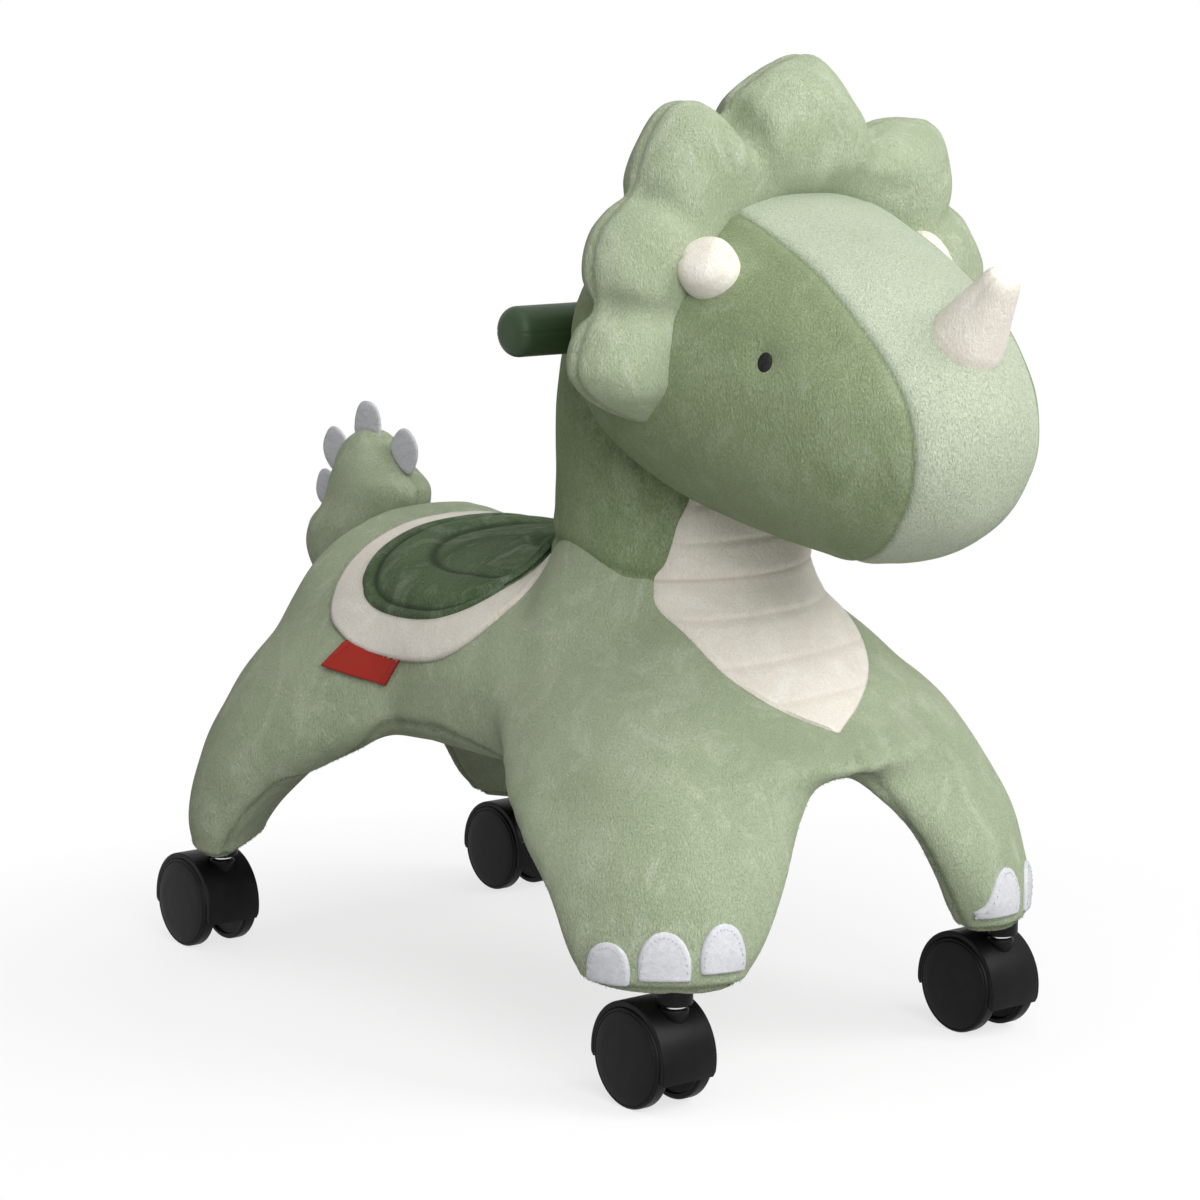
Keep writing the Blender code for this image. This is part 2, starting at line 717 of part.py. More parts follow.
up_grid, leg_angle_grid = np.meshgrid(np.linspace(0, 1, leg_steps + 1), ring(leg_around), indexing="ij")
legs = {}
for corner_name, (side, end) in corners.items():
    leg = loft(corner_name + "_leg", leg_point(side, end, up_grid, leg_angle_grid), sage)
    legs[corner_name] = leg


# Neck

neck_base = 214 * mm
neck_top = 404 * mm
neck_half_width = 72 * mm
neck_y = -64 * mm
neck_steps = 9
neck_around = 18

# Each row: height, middle, half width and half depth
neck_row_shares = [
    (0.00, -0.12, 1.02, 1.12), (0.13, -0.11, 0.96, 1.04), (0.28, -0.08, 0.88, 0.93), (0.46, -0.03, 0.84, 0.87),
    (0.64, 0.00, 0.81, 0.82), (0.80, -0.01, 0.74, 0.75), (0.91, -0.04, 0.60, 0.61), (0.975, -0.08, 0.38, 0.40),
    (1.00, -0.11, 0.10, 0.12)]


def neck_point(up, angle):
    row = smooth(neck_row_shares, up) * neck_half_width
    height = neck_base + row[..., 0] / neck_half_width * (neck_top - neck_base)
    return np.stack([row[..., 2] * np.cos(angle), neck_y + row[..., 1] + row[..., 3] * np.sin(angle),
                     height + 0 * angle], axis=-1)


neck_up, neck_angle = np.meshgrid(np.linspace(0, 1, neck_steps + 1), ring(neck_around), indexing="ij")
neck = loft("neck", neck_point(neck_up, neck_angle), dark_sage)


# Head: a squared ovoid whose nose points forward and a little down

head_centre_y = -183 * mm
head_centre_z = 344 * mm
head_half_width = 92 * mm
head_half_length = 123 * mm
head_half_height = 78 * mm
head_pitch = math.radians(17.6)
head_squareness = 0.78
head_width_taper_share = -0.32
head_height_taper_share = -0.16
head_steps = 14
head_around = 20


def head_point(along, angle, lift=0.0):
    """Skin of the head: along runs -1 at the back to 1 at the nose, angle turns up from +X."""
    bend = along * quarter
    forward = power(np.sin(bend), head_squareness)
    girth = np.abs(np.cos(bend)) ** head_squareness
    x = (head_half_width * (1 + head_width_taper_share * forward) * girth + lift) * np.cos(angle)
    up = (head_half_height * (1 + head_height_taper_share * forward) * girth + lift) * np.sin(angle)
    forward = forward * (head_half_length + lift)
    y = head_centre_y - forward * math.cos(head_pitch) - up * math.sin(head_pitch)
    z = head_centre_z - forward * math.sin(head_pitch) + up * math.cos(head_pitch)
    return np.stack([x + 0 * y, y, z], axis=-1)


head_along, head_angle = np.meshgrid(
    np.linspace(-1, 1, head_steps + 1)[1:-1], ring(head_around), indexing="ij")
head = loft("head", head_point(head_along, head_angle), pale_sage)


# Frill: a stuffed collar with seven scallops, sewn round the head

frill_y = -160 * mm
frill_z = 365 * mm
frill_root_radius = 66 * mm
frill_tip_radius = 140 * mm
frill_thickness = 44 * mm
frill_steps = 48
frill_around = 8

# Edge of the right half: angle above the horizontal in quarter turns, radius as a share of the tip's
frill_edge_shares = [
    (-0.30, 0.68), (-0.17, 0.86), (-0.06, 0.935), (0.05, 0.885), (0.165, 0.965), (0.34, 0.855), (0.58, 0.985),
    (0.80, 0.87), (1.00, 1.00)]


def frill_edge(across):
    """Angle and radius of the scalloped edge; across runs 0 to 1 from one low end to the other."""
    both = frill_edge_shares + [(2 - turn, radius) for turn, radius in frill_edge_shares[-2::-1]]
    row = smooth(both, across)
    return row[..., 0] * quarter, row[..., 1] * frill_tip_radius


def frill_point(across, around):
    angle, edge = frill_edge(across)
    middle = (edge + frill_root_radius) / 2
    half = (edge - frill_root_radius) / 2
    radius = middle + half * np.cos(around)
    end_pinch = np.clip(np.minimum(across, 1 - across) / 0.05, 0.25, 1)
    depth = frill_thickness / 2 * power(np.sin(around), 0.8) * end_pinch
    return np.stack([radius * np.cos(angle), frill_y + depth, frill_z + radius * np.sin(angle)], axis=-1)


frill_across, frill_turn = np.meshgrid(
    np.linspace(0, 1, frill_steps + 1), ring(frill_around), indexing="ij")
frill = loft("frill", frill_point(frill_across, frill_turn), sage)


# Tail: an upright stuffed cone behind the seat

tail_y = 206 * mm
tail_bottom = 178 * mm
tail_top = 286 * mm
tail_reach = 48 * mm
tail_steps = 10
tail_around = 16

# Each row: height, middle, half depth and half width
tail_row_shares = [
    (0.00, -0.15, 0.50, 0.35), (0.12, 0.02, 0.82, 0.56), (0.25, 0.10, 0.96, 0.64), (0.42, 0.12, 0.97, 0.64),
    (0.58, 0.05, 0.87, 0.58), (0.72, 0.00, 0.78, 0.50), (0.84, 0.00, 0.68, 0.40), (0.94, 0.00, 0.46, 0.27),
    (1.00, 0.00, 0.12, 0.08)]


def tail_point(up, angle):
    row = smooth(tail_row_shares, up) * tail_reach
    height = tail_bottom + row[..., 0] / tail_reach * (tail_top - tail_bottom)
    return np.stack([row[..., 3] * np.cos(angle), tail_y + row[..., 1] + row[..., 2] * np.sin(angle),
                     height + 0 * angle], axis=-1)


tail_up, tail_angle = np.meshgrid(np.linspace(0, 1, tail_steps + 1), ring(tail_around), indexing="ij")
tail = loft("tail", tail_point(tail_up, tail_angle), sage)


# Rooms for the frame inside the stuffed pieces

rail_room = make_cutter(box(
    "rail_room", (-rail_width / 2 - gap, -rail_half_length - gap, cross_screw_bottom - gap),
    (rail_width / 2 + gap, rail_half_length + gap, deck + screw_head_height + gap)))
board_room = make_cutter(rounded_plate(
    "board_room", board_centre, board_length + 2 * gap, board_width + 2 * gap, deck - gap,
    board_top + screw_head_height + 2 * gap, board_corner))
plate_room = make_cutter(box(
    "plate_room",
    (-post_plate_width / 2 - gap, bar_y - post_plate_length / 2 - gap, deck - gap),
    (post_plate_width / 2 + gap, bar_y + post_plate_length / 2 + gap, plate_top + screw_head_height + 2 * gap)))
post_room = make_cutter(box(
    "post_room", (-post_width / 2 - gap, bar_y - post_width / 2 - gap, deck),
    (post_width / 2 + gap, bar_y + post_width / 2 + gap, post_top + gap)))
bar_room_end = grip_end + overrun
bar_room = make_cutter(turned("bar_room", [
    (0, -bar_room_end), (grip_radius + gap, -bar_room_end), (grip_radius + gap, gap - grip_start),
    (bar_radius + gap, gap - grip_start), (bar_radius + gap, grip_start - gap),
    (grip_radius + gap, grip_start - gap), (grip_radius + gap, bar_room_end), (0, bar_room_end)],
    grip_sides, (0, bar_y, bar_height), "X"))


# Trims: each stuffed piece is cut by the larger ones and by the frame

torso_room = grown(torso, soft_gap)
neck_room = grown(neck, soft_gap)
head_room = grown(head, soft_gap)
cut_all(torso, [front_frame_room, rear_frame_room, rail_room, board_room, plate_room, post_room])
cut_all(neck, [torso_room, post_room, bar_room])
cut_all(head, [neck_room, bar_room])
cut_all(frill, [head_room, neck_room])
cut_all(tail, [torso_room])
leg_rooms = {}
claw_seats = {}
for corner_name, (side, end) in corners.items():
    collar_room = make_cutter(turned(corner_name + "_collar_room", [
        (0, collar_bottom), (collar_radius + gap, collar_bottom),
        (collar_radius + gap, collar_bottom + collar_height + gap), (0, collar_bottom + collar_height + gap)],
        round_sides, stem_place(side, end)))
    leg = legs[corner_name]
    leg_rooms[corner_name] = grown(leg, soft_gap)
    claw_seats[corner_name] = grown(leg, gap)
    leg_frame_room = front_frame_room if end < 0 else rear_frame_room
    cut_all(leg, [torso_room, collar_room, leg_frame_room, rail_room, board_room])


# Felt spikes on one narrow strip, sewn into the tail's middle seam

spike_thickness = 3 * mm
spike_width = 24 * mm
spike_length = 17 * mm
spike_root = 7 * mm
spike_strip = 1.5 * mm
spike_steps = 8
seam_steps = 60

# Place of each spike: height as a share of the tail's, and its side, 1 towards the back, in seam order
spike_places = [(0.79, -1), (1.00, 1), (0.76, 1), (0.51, 1)]


def tail_seam(distance):
    """Point on the tail's middle seam and the outward direction there, by length run from its front foot."""
    up = np.concatenate([np.linspace(0, 1, seam_steps), np.linspace(1, 0, seam_steps)])
    side = np.repeat([-1, 1], seam_steps)
    points = tail_point(up, side * quarter)
    run = np.concatenate([[0], np.cumsum(np.linalg.norm(np.diff(points, axis=0), axis=1))])
    if distance is None:
        return run, up, side
    y = np.interp(distance, run, points[:, 1])
    z = np.interp(distance, run, points[:, 2])
    reach = spike_width / 4
    dy = np.interp(distance + reach, run, points[:, 1]) - np.interp(distance - reach, run, points[:, 1])
    dz = np.interp(distance + reach, run, points[:, 2]) - np.interp(distance - reach, run, points[:, 2])
    length = np.hypot(dy, dz)
    zero = 0 * y
    return np.stack([zero, y, z], axis=-1), np.stack([zero, -dz / length, dy / length], axis=-1)


def scallops(centres, width, low, high, steps, flat_steps):
    """Edge of a strip with round lobes: places along it and its height there."""
    places = []
    heights = []
    for centre in centres:
        if places:
            between = np.linspace(places[-1], centre - width / 2, flat_steps + 2)[1:-1]
            places += list(between)
            heights += [low] * len(between)
        for turn in np.linspace(math.pi, 0, steps + 1):
            places.append(centre + width / 2 * math.cos(turn))
            heights.append(low + (high - low) * abs(math.sin(turn)) ** 0.75)
    return np.array(places), np.array(heights)


seam_run, seam_up, seam_side = tail_seam(None)
spike_centres = []
for up, side in spike_places:
    spike_centres.append(seam_run[np.argmin(np.abs(seam_up - up) + (seam_side != side))])
spike_run, spike_heights = scallops(spike_centres, spike_width, spike_strip, spike_length, spike_steps, 2)
seam_points, seam_out = tail_seam(spike_run)
spike_sheet = np.stack([seam_points - seam_out * spike_root, seam_points + seam_out * spike_heights[:, None]])
half_spike = np.array([spike_thickness / 2, 0, 0])
tail_spikes = slab("tail_spikes", spike_sheet + half_spike, spike_sheet - half_spike, felt)
cut_all(tail_spikes, [grown(tail, gap), torso_room])


# Horns: stuffed cones and stubs on the head

brow_horn_x = 72 * mm
brow_horn_y = -181 * mm
brow_horn_z = 400 * mm
brow_horn_radius = 14.5 * mm
brow_horn_length = 17 * mm
nose_horn_y = -283 * mm
nose_horn_z = 368 * mm
nose_horn_radius = 17.5 * mm
nose_horn_length = 46 * mm
horn_root = 9 * mm
horn_around = 12

# Each row: place along the horn and its radius
stub_row_shares = [(0.0, 0.80), (0.35, 1.00), (0.7, 0.97), (0.93, 0.66), (1.0, 0.25)]
cone_row_shares = [(0.0, 1.00), (0.3, 0.90), (0.6, 0.66), (0.88, 0.38), (1.0, 0.12)]


def horn(name, foot, lean, radius, length, row_shares):
    """Stack of rings along a leaning axis, from below the skin to the tip."""
    lean = np.asarray(lean, float)
    lean = lean / np.linalg.norm(lean)
    side = np.cross(lean, (0.0, 1.0, 0.0))
    side = side / np.linalg.norm(side)
    third = np.cross(lean, side)
    angles = ring(horn_around)[None, :, None]
    rows = np.array(row_shares)
    run = (rows[:, 0] * (length + horn_root) - horn_root)[:, None, None]
    girth = (rows[:, 1] * radius)[:, None, None]
    rings = np.asarray(foot) + run * lean + girth * (np.cos(angles) * side + np.sin(angles) * third)
    return loft(name, rings, cream)


brow_lean = (0.72, -0.30, 0.60)
nose_lean = (0, -0.60, 0.78)
for word, hand in (("left", 1), ("right", -1)):
    stub = horn(word + "_brow_horn", (hand * brow_horn_x, brow_horn_y, brow_horn_z),
                (hand * brow_lean[0], brow_lean[1], brow_lean[2]), brow_horn_radius, brow_horn_length,
                stub_row_shares)
    cut_all(stub, [head_room, grown(frill, gap)])
nose_horn = horn("nose_horn", (0, nose_horn_y, nose_horn_z), nose_lean, nose_horn_radius, nose_horn_length,
                 cone_row_shares)
cut(nose_horn, head_room)


# Eyes: oval satin-stitch pads on the sides of the head

eye_along = 0.12
eye_angle = math.radians(22.5)
eye_half_width = 3.6 * mm
eye_half_height = 4.9 * mm
eye_rise = 1.6 * mm
eye_around = 10


def make_eye(name, hand):
    """Low dome standing on the head's skin."""
    turn = eye_angle if hand > 0 else math.pi - eye_angle
    centre = head_point(np.array(eye_along), np.array(turn))
    nudge = 1e-3
    forward = head_point(np.array(eye_along + nudge), np.array(turn)) - centre
    upward = head_point(np.array(eye_along), np.array(turn + hand * nudge)) - centre
    forward = forward / np.linalg.norm(forward)
    out = np.cross(forward, upward) * -hand
    out = out / np.linalg.norm(out)
    upward = np.cross(out, forward) * -hand
    angles = ring(eye_around)[None, :, None]
    flat = eye_half_width * np.cos(angles) * forward + eye_half_height * np.sin(angles) * upward
    rows = np.array([(-1.0, 0.85), (0.0, 1.0), (0.62, 0.80), (1.0, 0.35)])[:, :, None, None]
    rings = centre + rows[:, 0] * eye_rise * out + rows[:, 1] * flat
    dome = loft(name, rings, thread)
    cut(dome, head_room)
    return dome


for word, hand in (("left", 1), ("right", -1)):
    make_eye(word + "_eye", hand)


# Felt claws on the front feet, three on one narrow strip sewn into the seam of the sole

claw_height = 24 * mm
claw_strip = 3 * mm
claw_lift = 1.8 * mm
claw_sink = 2.5 * mm
claw_low = 3.5 * mm
claw_columns = 7
claw_rows = 3

# Width, spacing and shift of the claws along a foot's broad face, which grows with the leg's reach
claw_width_share = 0.25
claw_pitch_share = 0.275
claw_shift_share = 0.05


def skin_spread(up, spread):
    """Angle on a leg's skin at which the broad side reaches a given distance."""
    row = smooth(leg_row_shares, up)
    half_spread = np.where(spread > 0, row[..., 4], row[..., 5]) * leg_reach
    share = np.clip(np.abs(spread) / half_spread, 0, 0.999) ** (1 / leg_squareness)
    return np.sign(spread) * np.arcsin(share)


def leg_up(height):
    """Place up a leg at which its skin reaches a height."""
    heights = np.array([row[0] for row in leg_row_shares]) * (leg_top - foot_bottom) + foot_bottom
    return np.interp(height, heights, np.linspace(0, 1, len(heights)))


def make_claws(corner_name):
    """Three felt half ovals laid on the outer face of a foot."""
    side, end = corners[corner_name]

    def skin(up, angle):
        return leg_point(side, end, up, angle)

    centres = [(claw_shift_share + place * claw_pitch_share) * leg_reach for place in (-1, 0, 1)]
    spread, height = scallops(centres, claw_width_share * leg_reach, claw_strip, claw_height, claw_columns, 0)
    share = np.linspace(0, 1, claw_rows + 1)[:, None]
    up = leg_up(foot_bottom + claw_low + share * height)
    angle = skin_spread(up, spread + 0 * share)
    facing = skin_normal(skin, up, angle) * side * end
    claws = slab(corner_name + "_claws", skin(up, angle) + claw_lift * facing,
                 skin(up, angle) - claw_sink * facing, felt)
    cut(claws, claw_seats[corner_name])


make_claws("front_left")
make_claws("front_right")


# Chest panel: a quilted bib over the throat and chest

bib_top = 300 * mm
bib_bottom = 170 * mm
bib_half_width = 54 * mm
bib_rise = 5 * mm
bib_edge = 2.4 * mm
bib_sink = 7 * mm
bib_channels = 6
bib_channel_depth = 1.2 * mm
bib_columns = 8
bib_row_count = 12

# Half width at even steps of height, bottom to top
bib_width_shares = [
    0.10, 0.50, 0.74, 0.90, 0.97, 1.00, 0.99, 0.95, 0.91, 0.86, 0.76, 0.66, 0.57, 0.48]


bib_v, bib_u = np.meshgrid(np.linspace(0, 1, bib_row_count + 1), np.linspace(-1, 1, bib_columns + 1),
                           indexing="ij")
bib_x = bib_u * smooth(np.array(bib_width_shares)[:, None], bib_v)[..., 0] * bib_half_width
bib_z = bib_bottom + bib_v * (bib_top - bib_bottom)
bib_rests_on = [torso_room, neck_room, leg_rooms["front_left"], leg_rooms["front_right"]]
bib_flat = np.stack([bib_x, 0 * bib_x, bib_z], axis=-1)
bib_y = -skin_reach(bib_rests_on, bib_flat, np.broadcast_to([0, -1, 0], bib_flat.shape))
channel = np.abs(np.sin(bib_v * bib_channels * math.pi)) ** 0.5 - 1
puff = bib_edge + bib_rise * (1 - bib_u ** 4) * (1 - (2 * bib_v - 1) ** 8) + bib_channel_depth * channel
chest_panel = slab("chest_panel", np.stack([bib_x, bib_y - puff, bib_z], axis=-1),
                   np.stack([bib_x, bib_y + bib_sink, bib_z], axis=-1), cream)
cut_all(chest_panel, bib_rests_on + [head_room])


# Saddle: a cream blanket, and a quilted seat pad on it

blanket_y = 49 * mm
blanket_half_length = 81 * mm
blanket_drop = math.radians(80)
blanket_lift = 4 * mm
blanket_edge = 2.4 * mm
blanket_sink = 3 * mm
blanket_rings = 6
saddle_cover_height = 30 * mm
saddle_clearance = 1 * mm
pad_y = 57 * mm
pad_half_length = 66 * mm
pad_drop = math.radians(62)
pad_lift = 8 * mm
pad_edge = 2.4 * mm
pad_channel_depth = 2 * mm
pad_rings = 8
saddle_around = 24
saddle_squareness = 0.64

# Places of the pad's sewn channels and how wide they are, of the way from its middle to its rim
pad_channel_shares = (0.45, 0.78)
pad_channel_width_share = 0.07


def saddle_layer(name, y, half_length, drop, rings, under, top, material=None):
    """Closed pad over the back: a top skin and an under skin that meet at a squared oval rim."""
    reach, turn = np.meshgrid(np.linspace(0, 1, rings + 1)[1:], ring(saddle_around), indexing="ij")
    along = torso_along(y + reach * half_length * power(np.cos(turn), saddle_squareness))
    angle = quarter + reach * drop * power(np.sin(turn), saddle_squareness)
    top_skin = torso_point(along, angle, top(reach))
    under_skin = torso_point(along, angle, under + 0 * reach)
    return loft(name, np.concatenate([top_skin, under_skin[::-1]]), material)


def blanket_height(reach):
    return blanket_edge + (blanket_lift - blanket_edge) * (1 - reach ** 8)


def pad_height(reach):
    """Crown of the pad over its rim, less the sewn channels."""
    crown = pad_edge + (pad_lift - pad_edge) * (1 - reach ** 6)
    for place in pad_channel_shares:
        crown = crown - pad_channel_depth * np.exp(-((reach - place) / pad_channel_width_share) ** 2)
    return blanket_lift + crown


blanket = saddle_layer("saddle_blanket", blanket_y, blanket_half_length, blanket_drop, blanket_rings,
                       -blanket_sink, blanket_height, cream)
blanket_room = grown(blanket, gap)
cut_all(blanket, [torso_room, neck_room])
saddle_cover = saddle_layer("saddle_cover", blanket_y, blanket_half_length, blanket_drop, blanket_rings,
                            -blanket_sink, lambda reach: saddle_cover_height + 0 * reach)
saddle_room = grown(make_cutter(saddle_cover), saddle_clearance)
for leg in legs.values():
    cut(leg, saddle_room)
seat_pad = saddle_layer("seat_pad", pad_y, pad_half_length, pad_drop, pad_rings, 0, pad_height, forest)
cut_all(seat_pad, [blanket_room, torso_room, neck_room])


# Side label: a bare folded tape sewn under the blanket's edge on the right flank

tag_length = 62 * mm
tag_y = 68 * mm
tag_slant = 12 * mm
tag_thickness = 1.4 * mm
tag_sink = 1.5 * mm
tag_top = math.radians(166)
tag_bottom = math.radians(179.5)
tag_columns = 5
tag_rows = 3


tag_down, tag_across = np.meshgrid(
    np.linspace(0, 1, tag_rows + 1), np.linspace(-1, 1, tag_columns + 1), indexing="ij")
tag_along = torso_along(tag_y + tag_across * tag_length / 2 + tag_down * tag_slant)
tag_angle = tag_top + tag_down * (tag_bottom - tag_top)
tag_base = torso_point(tag_along, tag_angle)
tag_out = skin_normal(torso_point, tag_along, tag_angle)
tag_rests_on = [torso_room, leg_rooms["rear_right"]]
tag_reach = skin_reach(tag_rests_on, tag_base, tag_out)[..., None]
side_tag = slab("side_tag", tag_base + (tag_reach + tag_thickness) * tag_out,
                tag_base + (tag_reach - tag_sink) * tag_out, label)
cut_all(side_tag, [blanket_room] + tag_rests_on)


# Stand the animal so that the middle of its length is at y = 0

def world_span(things):
    """Lowest and highest y of some pieces."""
    ys = [(thing.matrix_world @ vertex.co).y for thing in things for vertex in thing.data.vertices]
    return min(ys), max(ys)


bpy.context.view_layer.update()
low_y, high_y = world_span([thing for thing in bpy.data.objects if thing.type == "MESH" and not thing.hide_render])
for thing in bpy.data.objects:
    if not thing.parent:
        thing.location.y -= (low_y + high_y) / 2
bpy.context.view_layer.update()
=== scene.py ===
import json
import math
import bmesh
import bpy
import numpy as np
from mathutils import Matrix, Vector
from mathutils.bvhtree import BVHTree


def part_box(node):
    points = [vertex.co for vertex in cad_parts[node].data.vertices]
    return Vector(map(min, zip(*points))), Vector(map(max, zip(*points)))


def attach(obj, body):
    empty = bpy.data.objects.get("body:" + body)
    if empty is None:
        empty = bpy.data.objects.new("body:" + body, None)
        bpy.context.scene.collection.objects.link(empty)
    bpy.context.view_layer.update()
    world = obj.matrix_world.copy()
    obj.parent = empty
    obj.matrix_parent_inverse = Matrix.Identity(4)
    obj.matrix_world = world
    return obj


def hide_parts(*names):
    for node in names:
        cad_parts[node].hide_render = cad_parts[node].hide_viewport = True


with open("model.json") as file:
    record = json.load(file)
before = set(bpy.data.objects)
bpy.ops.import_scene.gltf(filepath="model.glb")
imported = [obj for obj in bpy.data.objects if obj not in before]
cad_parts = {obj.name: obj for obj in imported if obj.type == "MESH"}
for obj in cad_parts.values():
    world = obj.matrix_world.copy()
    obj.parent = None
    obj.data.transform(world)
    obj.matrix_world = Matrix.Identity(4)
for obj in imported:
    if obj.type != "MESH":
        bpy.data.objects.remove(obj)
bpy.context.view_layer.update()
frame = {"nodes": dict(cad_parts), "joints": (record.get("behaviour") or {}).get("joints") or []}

# Lengths in the dictionaries are millimetres, measured from the floor midpoint of the four casters.
# +X is the animal's left, -Y its front and +Z up.
mm = 0.001
quarter = math.pi / 2
joints = {joint["name"]: joint for joint in frame["joints"]}
frontStem = np.array(joints["front_left_swivel"]["pos_m"]) / mm
rearStem = np.array(joints["rear_left_swivel"]["pos_m"]) / mm
frontAxle = np.array(joints["front_left_left_roll"]["pos_m"]) / mm
middleY = (frontStem[1] + rearStem[1]) / 2
stemX = frontStem[0]
stemY = (rearStem[1] - frontStem[1]) / 2
corners = {"front_left": (1, -1), "front_right": (-1, -1), "rear_left": (1, 1), "rear_right": (-1, 1)}


def stand(points):  # millimetres about the floor midpoint to metres in the frame
    return (np.asarray(points, float) + (0, middleY, 0)) * mm


def local(points):  # metres in the frame to millimetres about the floor midpoint
    return np.asarray(points, float) / mm - (0, middleY, 0)


def smoothRows(rows, places):  # monotone cubic through evenly spaced rows: it never overshoots them
    rows = np.asarray(rows, float)
    steps = np.diff(rows, axis=0)
    slopes = np.zeros_like(rows)
    same = steps[1:] * steps[:-1] > 0
    total = np.where(same, steps[1:] + steps[:-1], 1)
    slopes[1:-1] = np.where(same, 2 * steps[1:] * steps[:-1] / total, 0)
    slopes[0] = steps[0]
    slopes[-1] = steps[-1]
    at = np.clip(np.asarray(places, float), 0, 1) * (len(rows) - 1)
    low = np.minimum(at.astype(int), len(rows) - 2)
    u = (at - low)[..., None]
    rise = rows[low + 1] - rows[low]
    bend = slopes[low] + slopes[low + 1] - 2 * rise
    return rows[low] + u * (slopes[low] + u * (rise - slopes[low] - bend + u * bend))


def signedPower(value, exponent):
    return np.sign(value) * np.abs(value) ** exponent


def hump(distance, width):  # bell curve, 1 at no distance
    return np.exp(-(np.asarray(distance) / width) ** 2)


def ease(value):  # 0 to 1 with level ends
    t = np.clip(value, 0, 1)
    return t * t * (3 - 2 * t)


def turns(count):
    return np.arange(count) * 2 * math.pi / count


def grid(rows, cols):
    return np.meshgrid(rows, cols, indexing="ij")


def even(count):  # places from 0 to 1
    return np.linspace(0, 1, count)


def unit(vectors):
    return vectors / np.linalg.norm(vectors, axis=-1, keepdims=True)


def runAlong(path):  # length run at each point of a path
    return np.concatenate([[0], np.cumsum(np.linalg.norm(np.diff(path, axis=0), axis=1))])


def pointsAt(path, places):  # points of a path by the length run
    run = runAlong(path)
    return np.stack([np.interp(places, run, path[:, axis]) for axis in range(3)], -1)


# Meshes

def gridFaces(rows, cols, around):  # quads between neighbouring rows, closed round the columns if asked
    i, j = grid(np.arange(rows - 1), np.arange(cols if around else cols - 1))
    k = (j + 1) % cols
    return np.stack([i * cols + j, i * cols + k, (i + 1) * cols + k, (i + 1) * cols + j], -1).reshape(-1, 4)


def faceOut(mesh):
    work = bmesh.new()
    work.from_mesh(mesh)
    bmesh.ops.recalc_face_normals(work, faces=work.faces)
    work.to_mesh(mesh)
    work.free()


def standing(name, data):  # an object in the scene
    thing = bpy.data.objects.new(name, data)
    bpy.context.scene.collection.objects.link(thing)
    return thing


def meshPiece(name, points, faces, material=None, shade=True):  # points in metres
    mesh = bpy.data.meshes.new(name)
    mesh.from_pydata(np.asarray(points).reshape(-1, 3).tolist(), [], faces)
    faceOut(mesh)
    if shade:
        mesh.shade_smooth()
    if material:
        mesh.materials.append(material)
    return standing(name, mesh)


def closedTube(name, rings, material=None):  # a stack of rings, closed by a fan at each end
    rows, cols = rings.shape[:2]
    points = np.concatenate([rings.reshape(-1, 3), rings[:1].mean(1), rings[-1:].mean(1)])
    j = np.arange(cols)
    k = (j + 1) % cols
    last = (rows - 1) * cols
    first = np.stack([0 * j + rows * cols, k, j], -1)
    end = np.stack([0 * j + rows * cols + 1, last + j, last + k], -1)
    faces = gridFaces(rows, cols, True).tolist() + first.tolist() + end.tolist()
    return meshPiece(name, points, faces, material)


def closedSlab(name, outer, inner, material=None):  # the space between two grids, joined along their edges
    rows, cols = outer.shape[:2]
    shift = rows * cols
    quads = gridFaces(rows, cols, False)
    index = np.arange(shift).reshape(rows, cols)
    edge = np.concatenate([index[0], index[1:, -1], index[-1, -2::-1], index[-2:0:-1, 0]])
    after = np.roll(edge, -1)
    rim = np.stack([edge, after, shift + after, shift + edge], -1)
    faces = np.concatenate([quads, shift + quads[:, ::-1], rim]).tolist()
    return meshPiece(name, np.concatenate([outer.reshape(-1, 3), inner.reshape(-1, 3)]), faces, material)


def turnedPiece(name, profile, sides):  # a profile of (radius, place along the axis) turned about +Z
    profile = np.asarray(profile, float)
    angle = turns(sides)[None, :]
    rings = np.stack([profile[:, :1] * np.cos(angle), profile[:, :1] * np.sin(angle),
                      profile[:, 1:] + 0 * angle], -1)
    return closedTube(name, rings * mm)


def roundedProfile(points, radius, steps=3):  # cut each inner corner of an open outline with a small arc
    points = np.asarray(points, float)
    made = [points[:1]]
    for before, corner, after in zip(points, points[1:], points[2:]):
        one = before - corner
        two = after - corner
        reach = min(radius, np.linalg.norm(one) / 2.1, np.linalg.norm(two) / 2.1)
        start = corner + unit(one) * reach
        finish = corner + unit(two) * reach
        t = even(steps + 1)[:, None]
        made.append((1 - t) ** 2 * start + 2 * t * (1 - t) * corner + t ** 2 * finish)
    made.append(points[-1:])
    return np.concatenate(made)


def evaluated(piece):  # the mesh with its modifiers applied takes the place of the old one
    mesh = bpy.data.meshes.new_from_object(piece.evaluated_get(bpy.context.evaluated_depsgraph_get()))
    old = piece.data
    piece.modifiers.clear()
    piece.data = mesh
    bpy.data.meshes.remove(old)
    mesh.name = piece.name


def joined(name, parts, material=None):
    work = bmesh.new()
    for part in parts:
        work.from_mesh(part.data)
    mesh = bpy.data.meshes.new(name)
    work.to_mesh(mesh)
    work.free()
    for part in parts:
        bpy.data.objects.remove(part)
    if material:
        mesh.materials.append(material)
        mesh.shade_smooth()
    return standing(name, mesh)


def readPoints(mesh):
    points = np.empty(len(mesh.vertices) * 3, np.float32)
    mesh.vertices.foreach_get("co", points)
    return points.reshape(-1, 3).astype(float)


def readNormals(mesh):
    normals = np.empty(len(mesh.vertices) * 3, np.float32)
    mesh.vertex_normals.foreach_get("vector", normals)
    return normals.reshape(-1, 3).astype(float)


def writePoints(mesh, points):
    mesh.vertices.foreach_set("co", points.astype(np.float32).ravel())
    mesh.update()


